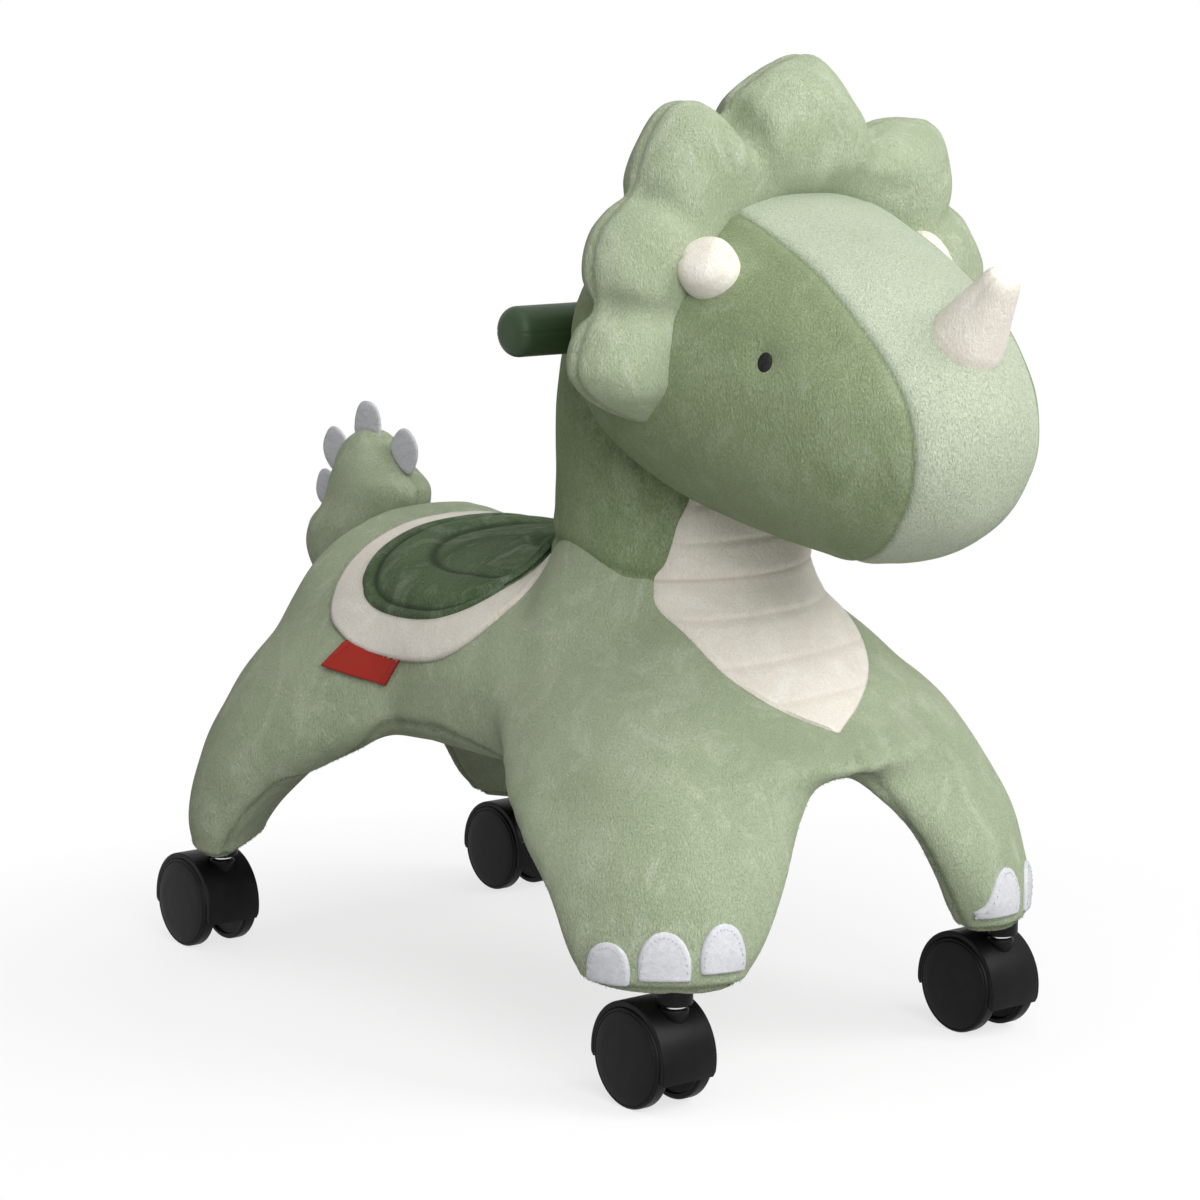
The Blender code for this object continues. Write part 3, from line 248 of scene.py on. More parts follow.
def paint(piece, word, values):  # a value at each point for the piece's material; points past the last have 0
    layer = piece.data.attributes.new(word, "FLOAT", "POINT")
    full = np.zeros(len(piece.data.vertices), np.float32)
    full[:np.size(values)] = np.ravel(values)
    layer.data.foreach_set("value", full)


def relax(mesh, rounds, share):
    # each point moves towards the mean of its neighbours, then a little back so that the form keeps its size
    points = readPoints(mesh)
    edges = np.empty(len(mesh.edges) * 2, np.int32)
    mesh.edges.foreach_get("vertices", edges)
    one, two = edges.reshape(-1, 2).T
    to = np.concatenate([one, two])
    of = np.concatenate([two, one])
    count = np.bincount(to, minlength=len(points))[:, None]
    share = np.broadcast_to(share, len(points))[:, None]
    for pull in (0.6, -0.35) * rounds:
        mean = np.stack([np.bincount(to, points[of, axis], len(points)) for axis in range(3)], -1) / count
        points += pull * share * (mean - points)
    writePoints(mesh, points)


stuffing = {"pressure": 4, "frames": 20, "quality": 6, "mass": 0.3,
            "stiffness": {"tension": 12, "compression": 12, "shear": 6, "bending": 0.4}}


def swell(piece, cap):  # cloth filled from inside: pressure pushes out, no point moves past the cap
    scene = bpy.context.scene
    start = readPoints(piece.data)
    cloth = piece.modifiers.new("stuffing", "CLOTH")
    settings = cloth.settings
    settings.use_pressure = True
    settings.uniform_pressure_force = stuffing["pressure"]
    settings.effector_weights.gravity = 0
    settings.quality = stuffing["quality"]
    settings.mass = stuffing["mass"]
    for word, value in stuffing["stiffness"].items():
        setattr(settings, word + "_stiffness", value)
    cloth.point_cache.frame_start = 1
    cloth.point_cache.frame_end = stuffing["frames"]
    for step in range(stuffing["frames"]):
        scene.frame_set(step + 1)
    evaluated(piece)
    scene.frame_set(1)
    move = readPoints(piece.data) - start
    length = np.linalg.norm(move, axis=1)[:, None]
    move *= np.minimum(1, cap * mm / np.maximum(length, 1e-9))
    writePoints(piece.data, start + move)


def plushSkin(name, parts, voxel, rounds, share=None, cap=0):
    # closed forms are fused by voxels, faired, filled and given one subdivision
    piece = joined(name, parts)
    melt = piece.modifiers.new("melt", "REMESH")
    melt.mode = "VOXEL"
    melt.voxel_size = voxel * mm
    melt.use_smooth_shade = True
    evaluated(piece)
    relax(piece.data, rounds, share(local(readPoints(piece.data))) if share else 1)
    if cap:
        swell(piece, cap)
    finer = piece.modifiers.new("finer", "SUBSURF")
    finer.levels = 1
    finer.render_levels = 1
    evaluated(piece)
    piece.data.shade_smooth()
    return piece


def sewn(piece, detail, material):
    # for points in millimetres, detail gives how far each moves out, and the values for its material
    mesh = piece.data
    points = readPoints(mesh)
    out, tone = detail(local(points))
    writePoints(mesh, points + readNormals(mesh) * out[:, None] * mm)
    for word, values in tone.items():
        paint(piece, word, values)
    mesh.materials.clear()
    mesh.materials.append(material)


def wave(points, length, seed):
    # soft lumps of stuffing: a sum of a few sine waves in fixed odd directions
    rng = np.random.default_rng(seed)
    total = np.zeros(len(points))
    for step in range(7):
        way = unit(rng.normal(size=3))
        total += np.sin(points @ way * 2 * math.pi / (length * rng.uniform(0.7, 1.4)) + rng.uniform(0, 7))
    return total / 7


def nearPath(points, path, around=30):
    # distance from each point to a chain of close points, in blocks that fit in memory; far ones are 1000
    reach = np.full(len(points), 1e3)
    inside = np.nonzero(((points > path.min(0) - around) & (points < path.max(0) + around)).all(1))[0]
    for block in np.array_split(inside, len(inside) // 4000 + 1):
        gap = points[block][:, None] - path[None]
        reach[block] = np.sqrt((gap ** 2).sum(-1).min(1))
    return reach


def skinTree(*pieces):
    trees = []
    for piece in pieces:
        work = bmesh.new()
        work.from_mesh(piece.data)
        trees.append(BVHTree.FromBMesh(work))
        work.free()
    return trees


def onSkin(trees, points):  # the nearest point of some skins, and its normal
    places = np.empty_like(points)
    normals = np.empty_like(points)
    for index in np.ndindex(points.shape[:-1]):
        found = min((tree.find_nearest(Vector(points[index])) for tree in trees), key=lambda hit: hit[3])
        places[index] = found[0]
        normals[index] = found[1]
    return places, normals


def rayOnSkin(trees, starts, way):  # where parallel rays first meet some skins
    reach = np.empty(starts.shape[:-1])
    for index in np.ndindex(reach.shape):
        hits = [tree.ray_cast(Vector(starts[index]), Vector(way))[3] for tree in trees]
        reach[index] = min([hit for hit in hits if hit is not None], default=np.nan)
    return starts + np.array(way) * reach[..., None]


# Attaches a piece to its body and hides the CAD nodes that it stands for; its finish is not used

def place(piece, body, finish, *nodes, fill=None):
    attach(piece, body)
    if nodes:
        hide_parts(*nodes)
    return piece


def tufts(name, spots, ways, length, girth, seed, material, finish):
    # closed four-faced slivers standing on the skin; spots in metres, ways are unit vectors
    rng = np.random.default_rng(seed)
    lean = unit(ways + rng.normal(size=ways.shape) * 0.45)
    side = unit(np.cross(lean, rng.normal(size=ways.shape)))
    third = np.cross(lean, side)
    tall = length * mm * rng.uniform(0.6, 1.2, len(spots))[:, None]
    foot = spots - ways * 0.4 * mm
    ring = [foot + girth * mm * (math.cos(turn) * side + math.sin(turn) * third) for turn in turns(3)]
    points = np.stack([*ring, foot + lean * tall], 1)
    base = 4 * np.arange(len(spots))[:, None, None]
    faces = (base + np.array([(0, 2, 1), (0, 1, 3), (1, 2, 3), (2, 0, 3)])).reshape(-1, 3)
    return place(meshPiece(name, points, faces.tolist(), material), "root", finish)


def alongPath(trees, path, step, reach, seed):  # scattered places beside a path, on the nearest skin
    rng = np.random.default_rng(seed)
    full = runAlong(path)[-1]
    spots = pointsAt(path, rng.uniform(0, full, int(full / step)))
    spots += rng.normal(size=spots.shape) * reach
    return onSkin(trees, stand(spots))


# Materials: every pattern reads Object coordinates in metres, so a scale of 100 has features of about 10 mm

def addNode(tree, kind, **values):
    node = tree.nodes.new(kind)
    for word, value in values.items():
        if hasattr(node, word):
            setattr(node, word, value)
        else:
            node.inputs[word.replace("_", " ")].default_value = value
    return node


def noiseOf(tree, scale, detail=2.0, rough=0.5, warp=0.0, stretch=(1, 1, 1), turn=(0, 0, 0)):
    where = addNode(tree, "ShaderNodeTexCoord")
    mapping = addNode(tree, "ShaderNodeMapping")
    mapping.inputs["Scale"].default_value = stretch
    mapping.inputs["Rotation"].default_value = turn
    tree.links.new(where.outputs["Object"], mapping.inputs["Vector"])
    noise = addNode(tree, "ShaderNodeTexNoise", Scale=scale, Detail=detail, Roughness=rough, Distortion=warp)
    tree.links.new(mapping.outputs["Vector"], noise.inputs["Vector"])
    return noise.outputs["Fac"]


def spread(tree, value, low, high, start=0.0, finish=1.0):  # start below low, finish above high
    ramp = addNode(tree, "ShaderNodeMapRange", clamp=True, From_Min=low, From_Max=high, To_Min=start,
                   To_Max=finish)
    tree.links.new(value, ramp.inputs["Value"])
    return ramp.outputs["Result"]


def mathOf(tree, operation, one, two):  # one is a socket, two a socket or a number
    node = addNode(tree, "ShaderNodeMath", operation=operation)
    tree.links.new(one, node.inputs[0])
    if isinstance(two, float):
        node.inputs[1].default_value = two
    else:
        tree.links.new(two, node.inputs[1])
    return node.outputs[0]


def mixOf(tree, factor, one, two):  # one and two are colours or sockets
    mix = addNode(tree, "ShaderNodeMix", data_type="RGBA")
    for socket, value in ((mix.inputs["Factor"], factor), (mix.inputs["A"], one), (mix.inputs["B"], two)):
        target = socket
        if socket.name != "Factor":
            target = [s for s in mix.inputs if s.name == socket.name and s.type == "RGBA"][0]
        if isinstance(value, (int, float)):
            target.default_value = value
        elif isinstance(value, tuple):
            target.default_value = (*value, 1)
        else:
            tree.links.new(value, target)
    return [s for s in mix.outputs if s.type == "RGBA"][0]


def attributeOf(tree, word):
    node = addNode(tree, "ShaderNodeAttribute")
    node.attribute_name = word
    return node.outputs["Fac"]


def bumpOf(tree, height, strength, reach, under=None):
    bump = addNode(tree, "ShaderNodeBump", Strength=strength, Distance=reach * mm)
    tree.links.new(height, bump.inputs["Height"])
    if under:
        tree.links.new(under, bump.inputs["Normal"])
    return bump.outputs["Normal"]


def newMaterial(name, roughness, metallic=0.0, specular=0.5):
    material = bpy.data.materials.new(name)
    material.use_nodes = True
    tree = material.node_tree
    shader = tree.nodes["Principled BSDF"]
    shader.inputs["Roughness"].default_value = roughness
    shader.inputs["Metallic"].default_value = metallic
    shader.inputs["Specular IOR Level"].default_value = specular
    return material, tree, shader


def plushMaterial(name, look):
    # short pile: broad brushed patches, streaks of turned nap, fine strands, and painted shade along the sewn
    # seams
    material, tree, shader = newMaterial(name, 0.92, 0.0, 0.12)
    shader.inputs["Sheen Weight"].default_value = look["sheen"]
    shader.inputs["Sheen Roughness"].default_value = look["sheenRoughness"]
    shader.inputs["Sheen Tint"].default_value = (*look["light"], 1)
    patches = spread(tree, noiseOf(tree, look["patches"], 3, 0.55, 0.8), 0.34, 0.68)
    colour = mixOf(tree, patches, look["dark"], look["colour"])
    nap = spread(tree, noiseOf(tree, look["streaks"], 4, 0.62, 1.6, look["lay"]), 0.49, 0.68)
    colour = mixOf(tree, mathOf(tree, "MULTIPLY", nap, look["napShare"]), colour, look["light"])
    # the panel attribute swaps in lighter colours on a lit front panel: painted light
    if "panel" in look:
        colour = mixOf(tree, attributeOf(tree, "panel"), colour, mixOf(tree, patches, *look["panel"]))
    strands = noiseOf(tree, look["strands"], 2, 0.75, 0.5, look["comb"], look["way"])
    dark = spread(tree, strands, 0.26, 0.62)
    colour = mixOf(tree, dark, mixOf(tree, look["strandShare"], colour, look["deep"]), colour)
    colour = mixOf(tree, spread(tree, strands, 0.56, 0.80), colour, mixOf(tree, 0.4, colour, look["light"]))
    # the seam attribute mixes in the deep colour: painted shade in seam creases and grooves
    colour = mixOf(tree, attributeOf(tree, "seam"), colour, look["deep"])
    tree.links.new(colour, shader.inputs["Base Color"])
    crush = bumpOf(tree, noiseOf(tree, look["crush"], 4, 0.6, 1.6, look["lay"]), look["crushShare"], 2.2)
    tree.links.new(bumpOf(tree, strands, look["pileShare"], 1.3, crush), shader.inputs["Normal"])
    return material


sage = {"colour": (0.457, 0.520, 0.364), "dark": (0.375, 0.440, 0.290), "light": (0.575, 0.635, 0.485),
        "deep": (0.205, 0.255, 0.145), "patches": 14, "streaks": 42, "lay": (1, 1, 0.6), "napShare": 0.60,
        "strands": 1250, "comb": (1, 1, 0.42), "way": (0.5, 0.35, 0.3), "strandShare": 0.55, "crush": 150,
        "crushShare": 0.26, "pileShare": 1.0, "sheen": 0.30, "sheenRoughness": 0.45}
# a darker copy of the sage for the neck: painted shade, the same fabric as the body
paintedShadeSage = dict(sage, colour=(0.310, 0.385, 0.215), dark=(0.235, 0.305, 0.155), light=(0.42, 0.49, 0.32),
                 deep=(0.075, 0.110, 0.042))
# the head's sides are a darker copy of the sage, painted shade, and its front panel colours are lighter,
# painted light: one fabric
headLightAndShadeSage = dict(sage, colour=(0.315, 0.378, 0.222), dark=(0.255, 0.315, 0.172), light=(0.43, 0.50, 0.34),
                deep=(0.120, 0.160, 0.075), panel=((0.560, 0.620, 0.480), (0.620, 0.680, 0.550)),
                napShare=0.40)
cream = dict(sage, colour=(0.840, 0.800, 0.720), dark=(0.780, 0.735, 0.650), light=(0.90, 0.875, 0.82),
             deep=(0.50, 0.42, 0.33), strandShare=0.34, sheen=0.20, patches=22, pileShare=0.6)
forest = dict(sage, colour=(0.160, 0.225, 0.125), dark=(0.080, 0.125, 0.062), light=(0.290, 0.360, 0.240),
              deep=(0.016, 0.034, 0.013), strandShare=0.5, streaks=45, napShare=0.75, sheen=0.14)

sageFur = plushMaterial("sage plush", sage)
headLightAndShadeFur = plushMaterial("head plush with painted light and shade", headLightAndShadeSage)
paintedShadeFur = plushMaterial("sage plush with painted shade", paintedShadeSage)
creamFur = plushMaterial("cream plush", cream)
forestFur = plushMaterial("forest green plush", forest)


def feltMaterial():  # matted fibres: two crossing stretched noises
    material, tree, shader = newMaterial("grey felt", 0.95, 0.0, 0.1)
    one = noiseOf(tree, 420, 4, 0.65, 0.8, (1, 0.35, 1), (0.4, 0.2, 0.7))
    two = noiseOf(tree, 420, 4, 0.65, 0.8, (0.35, 1, 1), (0.9, 0.5, 0.1))
    colour = mixOf(tree, spread(tree, one, 0.35, 0.65), (0.55, 0.56, 0.59), (0.65, 0.66, 0.69))
    colour = mixOf(tree, spread(tree, two, 0.55, 0.8), colour, (0.71, 0.72, 0.745))
    tree.links.new(colour, shader.inputs["Base Color"])
    tree.links.new(bumpOf(tree, two, 0.35, 0.5, bumpOf(tree, one, 0.35, 0.5)), shader.inputs["Normal"])
    return material


def threadMaterial(name, colour, light, specular):  # satin stitch: fine parallel strands
    material, tree, shader = newMaterial(name, 0.55, 0.0, specular)
    strands = noiseOf(tree, 500, 2, 0.5, 0.2, (3, 3, 0.15))
    tree.links.new(mixOf(tree, spread(tree, strands, 0.4, 0.7), colour, light), shader.inputs["Base Color"])
    tree.links.new(bumpOf(tree, strands, 0.5, 0.4), shader.inputs["Normal"])
    return material


def wovenMaterial():  # close ribs of a woven tape, from the piece's own UV map in millimetres
    material, tree, shader = newMaterial("red woven tape", 0.7, 0.0, 0.3)
    where = addNode(tree, "ShaderNodeTexCoord")
    waves = []
    for axis, scale, warp in (("X", 0.55, 0.6), ("Y", 0.75, 0.4)):
        node = addNode(tree, "ShaderNodeTexWave", bands_direction=axis, Scale=scale, Distortion=warp)
        tree.links.new(where.outputs["UV"], node.inputs["Vector"])
        waves.append(node.outputs["Fac"])
    ribs, threads = waves
    colour = mixOf(tree, ribs, (0.32, 0.020, 0.010), (0.46, 0.028, 0.014))
    colour = mixOf(tree, threads, mixOf(tree, 0.25, colour, (0.2, 0.005, 0.004)), colour)
    tree.links.new(colour, shader.inputs["Base Color"])
    weave = bumpOf(tree, threads, 0.4, 0.25, bumpOf(tree, ribs, 0.4, 0.25))
    tree.links.new(weave, shader.inputs["Normal"])
    return material


def hardMaterial(name, colour, roughness, metallic=0.0, grain=900, relief=0.06, wear=0.1, specular=0.5):
    # moulded or plated surface: roughness wanders a little, fine grain, scuffed patches
    material, tree, shader = newMaterial(name, roughness, metallic, specular)
    patches = noiseOf(tree, 45, 4, 0.6, 0.5)
    light = tuple(min(1, channel * (1 + wear) + wear * 0.02) for channel in colour)
    tree.links.new(mixOf(tree, spread(tree, patches, 0.4, 0.75), colour, light), shader.inputs["Base Color"])
    rough = spread(tree, noiseOf(tree, 120, 3, 0.6), 0.0, 1.0, roughness * 0.85, min(1, roughness * 1.2))
    tree.links.new(rough, shader.inputs["Roughness"])
    tree.links.new(bumpOf(tree, noiseOf(tree, grain, 2, 0.5), relief, 0.3), shader.inputs["Normal"])
    return material


def woodMaterial():  # face veneer: long wavy grain along Y
    material, tree, shader = newMaterial("plywood", 0.7)
    grain = noiseOf(tree, 60, 5, 0.6, 1.2, (1, 0.06, 1))
    colour = mixOf(tree, spread(tree, grain, 0.35, 0.7), (0.62, 0.47, 0.29), (0.44, 0.30, 0.17))
    tree.links.new(colour, shader.inputs["Base Color"])
    tree.links.new(bumpOf(tree, grain, 0.2, 0.4), shader.inputs["Normal"])
    return material


felt = feltMaterial()
blackThread = threadMaterial("black satin stitch", (0.004, 0.004, 0.004), (0.018, 0.018, 0.018), 0.2)
greyThread = threadMaterial("grey sewing thread", (0.46, 0.47, 0.50), (0.64, 0.65, 0.68), 0.4)
redTape = wovenMaterial()
gripPlastic = hardMaterial("dark green plastic", (0.034, 0.062, 0.026), 0.45, relief=0.10, specular=0.25)
blackPlastic = hardMaterial("black nylon", (0.004, 0.004, 0.0043), 0.42, relief=0.12, wear=0.2, specular=0.12)
steel = hardMaterial("plated steel", (0.62, 0.62, 0.64), 0.22, 1.0, relief=0.05)
paintedSteel = hardMaterial("black powder coat", (0.03, 0.03, 0.032), 0.55, 0.0, 700, 0.3)
plywood = woodMaterial()
print("materials made")


# Neck

neck = {
    "base": 214, "top": 404, "halfWidth": 72, "y": -64,
    # height, middle, half width and half depth, as shares
    "rows": [
        (0.00, -0.12, 0.94, 1.06), (0.13, -0.11, 0.895, 1.00), (0.28, -0.08, 0.865, 0.925),
        (0.46, -0.03, 0.84, 0.87), (0.64, 0.00, 0.81, 0.82), (0.80, -0.01, 0.74, 0.75),
        (0.91, -0.04, 0.60, 0.61), (0.975, -0.08, 0.38, 0.40), (1.00, -0.11, 0.10, 0.12)],
    "folds": [((-52, -100, 312), (-60, -72, 303), (-56, -44, 300)),
              ((52, -100, 312), (60, -72, 303), (56, -44, 300))]}


def neckSkin(up, angle):  # oval sections up Z
    row = smoothRows(neck["rows"], up)
    height = neck["base"] + row[..., 0] * (neck["top"] - neck["base"])
    y = neck["y"] + neck["halfWidth"] * (row[..., 1] + row[..., 3] * np.sin(angle))
    return np.stack([neck["halfWidth"] * row[..., 2] * np.cos(angle), y, height + 0 * angle], -1)


# Chest panel: a cream bib with sewn cross channels, let into the front

bib = {"top": 300, "bottom": 171, "halfWidth": 54, "rise": 0.9, "edge": 0.2, "sink": 6, "puff": 0.8, "rim": 4,
       # the channel just below the neck is painted with a dark shadow line
       "channels": (187.2, 205.4, 226.5, 244.6, 262.5, 281), "paintedShadowChannel": 244.6, "slope": 0.05,
       # half width at even steps of height, bottom to top, as shares
       "widths": [0.015, 0.42, 0.69, 0.87, 0.96, 1.00, 1.02, 0.97, 0.89, 0.82, 0.76, 0.67, 0.60, 0.54]}


# Body: torso and legs sewn as one skin

torso = {
    "halfLength": 213, "halfWidth": 101, "top": 252, "bottom": 135.5, "widest": 172, "underSquare": 0.5,
    # place along the half length, half width, underside and top as shares, squareness above, front to back
    "rows": [
        (-1.00, 0.10, 0.15, 0.18, 0.9), (-0.97, 0.58, 0.13, 0.24, 0.9), (-0.90, 0.80, 0.11, 0.33, 1.0),
        (-0.84, 0.88, 0.09, 0.47, 1.15), (-0.77, 0.92, 0.07, 0.64, 1.3), (-0.69, 0.96, 0.04, 0.86, 1.4),
        (-0.59, 0.98, 0.02, 0.98, 1.4), (-0.38, 1.00, 0.00, 0.98, 1.25), (-0.12, 1.00, 0.00, 0.92, 1.0),
        (0.15, 1.00, 0.00, 0.90, 0.9), (0.42, 1.00, 0.00, 0.89, 0.9), (0.58, 0.98, 0.00, 0.92, 0.9),
        (0.71, 0.93, 0.00, 0.99, 0.9), (0.81, 0.88, 0.01, 0.76, 0.9), (0.89, 0.78, 0.03, 0.44, 0.9),
        (0.97, 0.50, 0.07, 0.18, 0.9), (1.00, 0.10, 0.10, 0.13, 0.9)]}
leg = {
    "sole": 59.5, "top": 222, "reach": 100, "square": 0.88, "splay": (0.634, 0.773), "seamAngle": 112,
    # height, outer face of a front and a rear leg, inner face of each, reach to flank, reach to front
    # or back, curl
    "rows": [
        (0, 0.05, 0.04, -0.12, -0.10, 0.27, 0.19, 0.30),
        (0.009, 0.09, 0.08, -0.18, -0.15, 0.37, 0.27, 0.30),
        (0.025, 0.12, 0.11, -0.22, -0.18, 0.44, 0.32, 0.30),
        (0.065, 0.14, 0.14, -0.26, -0.22, 0.49, 0.38, 0.30),
        (0.126, 0.14, 0.15, -0.29, -0.29, 0.54, 0.44, 0.30),
        (0.219, 0.11, 0.13, -0.33, -0.43, 0.6, 0.505, 0.33),
        (0.311, 0.07, 0.09, -0.38, -0.60, 0.68, 0.565, 0.38),
        (0.404, 0.01, 0.04, -0.45, -0.86, 0.77, 0.61, 0.46),
        (0.496, -0.07, -0.03, -0.57, -1.04, 0.855, 0.665, 0.56),
        (0.600, -0.17, -0.13, -0.79, -1.12, 0.895, 0.69, 0.68),
        (0.698, -0.3, -0.24, -1, -1.17, 0.92, 0.67, 0.76),
        (0.785, -0.47, -0.4, -1.12, -1.19, 0.9, 0.61, 0.8),
        (0.865, -0.67, -0.56, -1.15, -1.2, 0.82, 0.53, 0.8),
        (0.939, -0.86, -0.68, -1.18, -1.2, 0.68, 0.43, 0.8),
        (1, -1, -0.86, -1.12, -1.12, 0.44, 0.30, 0.80)]}


def torsoSkin(along, angle):
    # oval sections along Y: x = width cos^q, z = middle + rise sin^q, flatter below than above
    row = smoothRows(torso["rows"], along)
    height = torso["top"] - torso["bottom"]
    width = row[..., 1] * torso["halfWidth"]
    low = torso["bottom"] + row[..., 2] * height
    high = torso["bottom"] + row[..., 3] * height
    middle = np.minimum(torso["widest"], (low + high) / 2)
    rise = np.sin(angle)
    x = width * signedPower(np.cos(angle), np.where(rise < 0, torso["underSquare"], row[..., 4]))
    up = (high - middle) * np.maximum(rise, 0) ** row[..., 4]
    down = (middle - low) * signedPower(np.maximum(-rise, 0), torso["underSquare"])
    return np.stack([x, row[..., 0] * torso["halfLength"] + 0 * x, middle + up - down], -1)


def torsoAlong(y):  # place along the rows at which the torso's skin has this y
    ys = [row[0] * torso["halfLength"] for row in torso["rows"]]
    return np.interp(y, ys, even(len(ys)))


def legSkin(side, end, up, angle):
    # oval sections across the splay direction, wider and further in with height, with ends that curl in
    length = math.hypot(*leg["splay"])
    out = np.array([side * leg["splay"][0], end * leg["splay"][1], 0]) / length
    broad = np.array([side * leg["splay"][1], -end * leg["splay"][0], 0]) / length
    row = smoothRows(leg["rows"], up)
    outer, inner = (row[..., column] * leg["reach"] for column in ((1, 3) if end < 0 else (2, 4)))
    reach = (outer + inner) / 2 + (outer - inner) / 2 * signedPower(np.cos(angle), leg["square"])
    half = np.where(np.sin(angle) > 0, row[..., 5], row[..., 6]) * leg["reach"]
    across = half * signedPower(np.sin(angle), leg["square"])
    reach = reach - row[..., 7] * across ** 2 / leg["reach"]
    height = leg["sole"] + row[..., 0] * (leg["top"] - leg["sole"])
    foot = np.array([side * stemX, end * stemY, 0])
    return foot + reach[..., None] * out + across[..., None] * broad + height[..., None] * np.array([0, 0, 1])


def upAt(height):  # place up a leg at which its skin has this height
    heights = leg["sole"] + np.array([row[0] for row in leg["rows"]]) * (leg["top"] - leg["sole"])
    return np.interp(height, heights, even(len(heights)))


shoulder = {
    "y": -70.8, "tilt": 0.168, "level": 16, "rear": 0.8,
    # height, half width and half depth of the ring that rises round the neck
    "rows": [(200, 92, 88), (222, 82, 84), (238, 73, 78), (248, 67, 73), (256, 61.5, 67.5), (264, 53, 58),
             (268, 30, 33)]}


def shoulderTilt(y):
    return shoulder["tilt"] * np.minimum(y - neck["y"], shoulder["level"])


def shoulderSkin(up, angle):
    row = smoothRows(shoulder["rows"], up)
    y = row[..., 2] * np.sin(angle) * np.where(np.sin(angle) > 0, shoulder["rear"], 1) + shoulder["y"]
    return np.stack([row[..., 1] * np.cos(angle), y, row[..., 0] + shoulderTilt(y)], -1)


def formOf(skin, rows, cols):  # a closed form from a skin function of place along and angle round
    return closedTube("form", stand(skin(*grid(even(rows), turns(cols)))))


bodyParts = [formOf(torsoSkin, 90, 96), formOf(shoulderSkin, 40, 80)]
for side, end in corners.values():
    bodyParts.append(closedTube("leg form", stand(legSkin(side, end, *grid(even(70), turns(72))))))

# Points of the seam over the arch between the legs, on the right flank: y and z
sideArch = [(114, 116), (76, 140), (44, 150), (5, 154), (-23, 147), (-53, 131)]


def chain(points, spacing=1.5, soft=8):  # close, even points along a rounded path through a few given ones
    points = np.asarray(points, float)
    full = runAlong(points)[-1]
    path = pointsAt(points, np.linspace(0, full, max(2, int(full / spacing))))
    padded = np.concatenate([np.repeat(path[:1], soft, 0), path, np.repeat(path[-1:], soft, 0)])
    window = np.hanning(2 * soft + 3)[1:-1]
    window /= window.sum()
    return np.stack([np.convolve(padded[:, axis], window, "valid") for axis in range(3)], -1)


def footShare(points):  # the feet keep their flat soles and firm rims
    return ease((points[:, 2] - 66) / 60) * 0.9 + 0.1


body = plushSkin("bodyPlush", bodyParts, 4, 26, footShare)
bodyTree = skinTree(body)
neckPiece = plushSkin("neckPlush", [formOf(neckSkin, 70, 80)], 4, 3)
chestTrees = bodyTree + skinTree(neckPiece)


def bibHeight(share):
    return bib["bottom"] + share * (bib["top"] - bib["bottom"])


def bibEdge(share):  # half width of the chest panel at a share of its height
    return smoothRows(np.array(bib["widths"])[:, None], share)[..., 0] * bib["halfWidth"]


def bibSkin(x, z):  # y of the chest's skin, in millimetres
    return local(rayOnSkin(chestTrees, stand(np.stack([x, 0 * x - 400, z], -1)), (0.0, 1.0, 0.0)))[..., 1]


def legSeam(corner, hand):  # the seam up a leg on its flank side (1) or its front or back (-1)
    up = np.linspace(upAt(62), upAt(118 if hand > 0 else 126), 40)
    return legSkin(*corners[corner], up, np.full(40, math.radians(leg["seamAngle"]) * hand))


seamPaths = []
for side, word in ((1, "left"), (-1, "right")):
    arch = [(side * torso["halfWidth"], y, z) for y, z in sideArch]
    seamPaths.append(chain(np.concatenate([legSeam("rear_" + word, 1)[::6], arch,
                                           legSeam("front_" + word, 1)[::-6]])))
for word, crown in (("front", (0, -206, 158)), ("rear", (0, 203, 146))):
    seamPaths.append(chain(np.concatenate([legSeam(word + "_left", -1)[::6], [crown],
                                           legSeam(word + "_right", -1)[::-6]])))
seamPaths.append(chain([(0, -215, 172), (0, -216, 165), (0, -212, 158)]))
level = np.linspace(0, 0.82, 60)
x = np.concatenate([-bibEdge(level)[::-1], bibEdge(level)])
z = bibHeight(np.concatenate([level[::-1], level]))
bibPath = chain(np.stack([x, bibSkin(x, z), z], -1))
collar = {"halfWidth": 63.5, "halfDepth": 69, "height": 252.5}
y = shoulder["y"] + collar["halfDepth"] * np.sin(turns(120))
neckSeam = np.stack([collar["halfWidth"] * np.cos(turns(120)), y, collar["height"] + shoulderTilt(y)], -1)
neckSeam = chain(np.concatenate([neckSeam, neckSeam[:1]]))
soleRims = [legSkin(side, end, np.full(160, upAt(62.5)), turns(160)) for side, end in corners.values()]
seamPaths = [local(onSkin(bodyTree, stand(path))[0]) for path in seamPaths]
soleRims = [local(onSkin(bodyTree, stand(path))[0]) for path in soleRims]


def nearPaths(points, paths):
    return np.min([nearPath(points, path) for path in paths], 0)


def bodyDetail(points):
    near = nearPaths(points, seamPaths)
    rim = nearPaths(points, soleRims)
    panel = nearPath(points, bibPath)
    throat = nearPath(points, neckSeam)
    out = 1.5 * wave(points, 90, 3) * ease((points[:, 2] - 70) / 40) + 0.5 * wave(points, 34, 8)
    out += -0.8 * hump(near, 2.0) + 0.5 * hump(near - 5, 3) - 0.6 * hump(rim, 2.2) + 0.8 * hump(rim - 4, 2.5)
    out += -0.8 * hump(panel, 2.2) + 0.5 * hump(throat - 6, 4)
    # seam values: painted shade along the body's seams, the sole rims and the chest panel's edge
    return out, {"seam": 0.25 * hump(near, 1.8) + 0.3 * hump(rim, 1.8) + 0.2 * hump(panel, 1.5)}


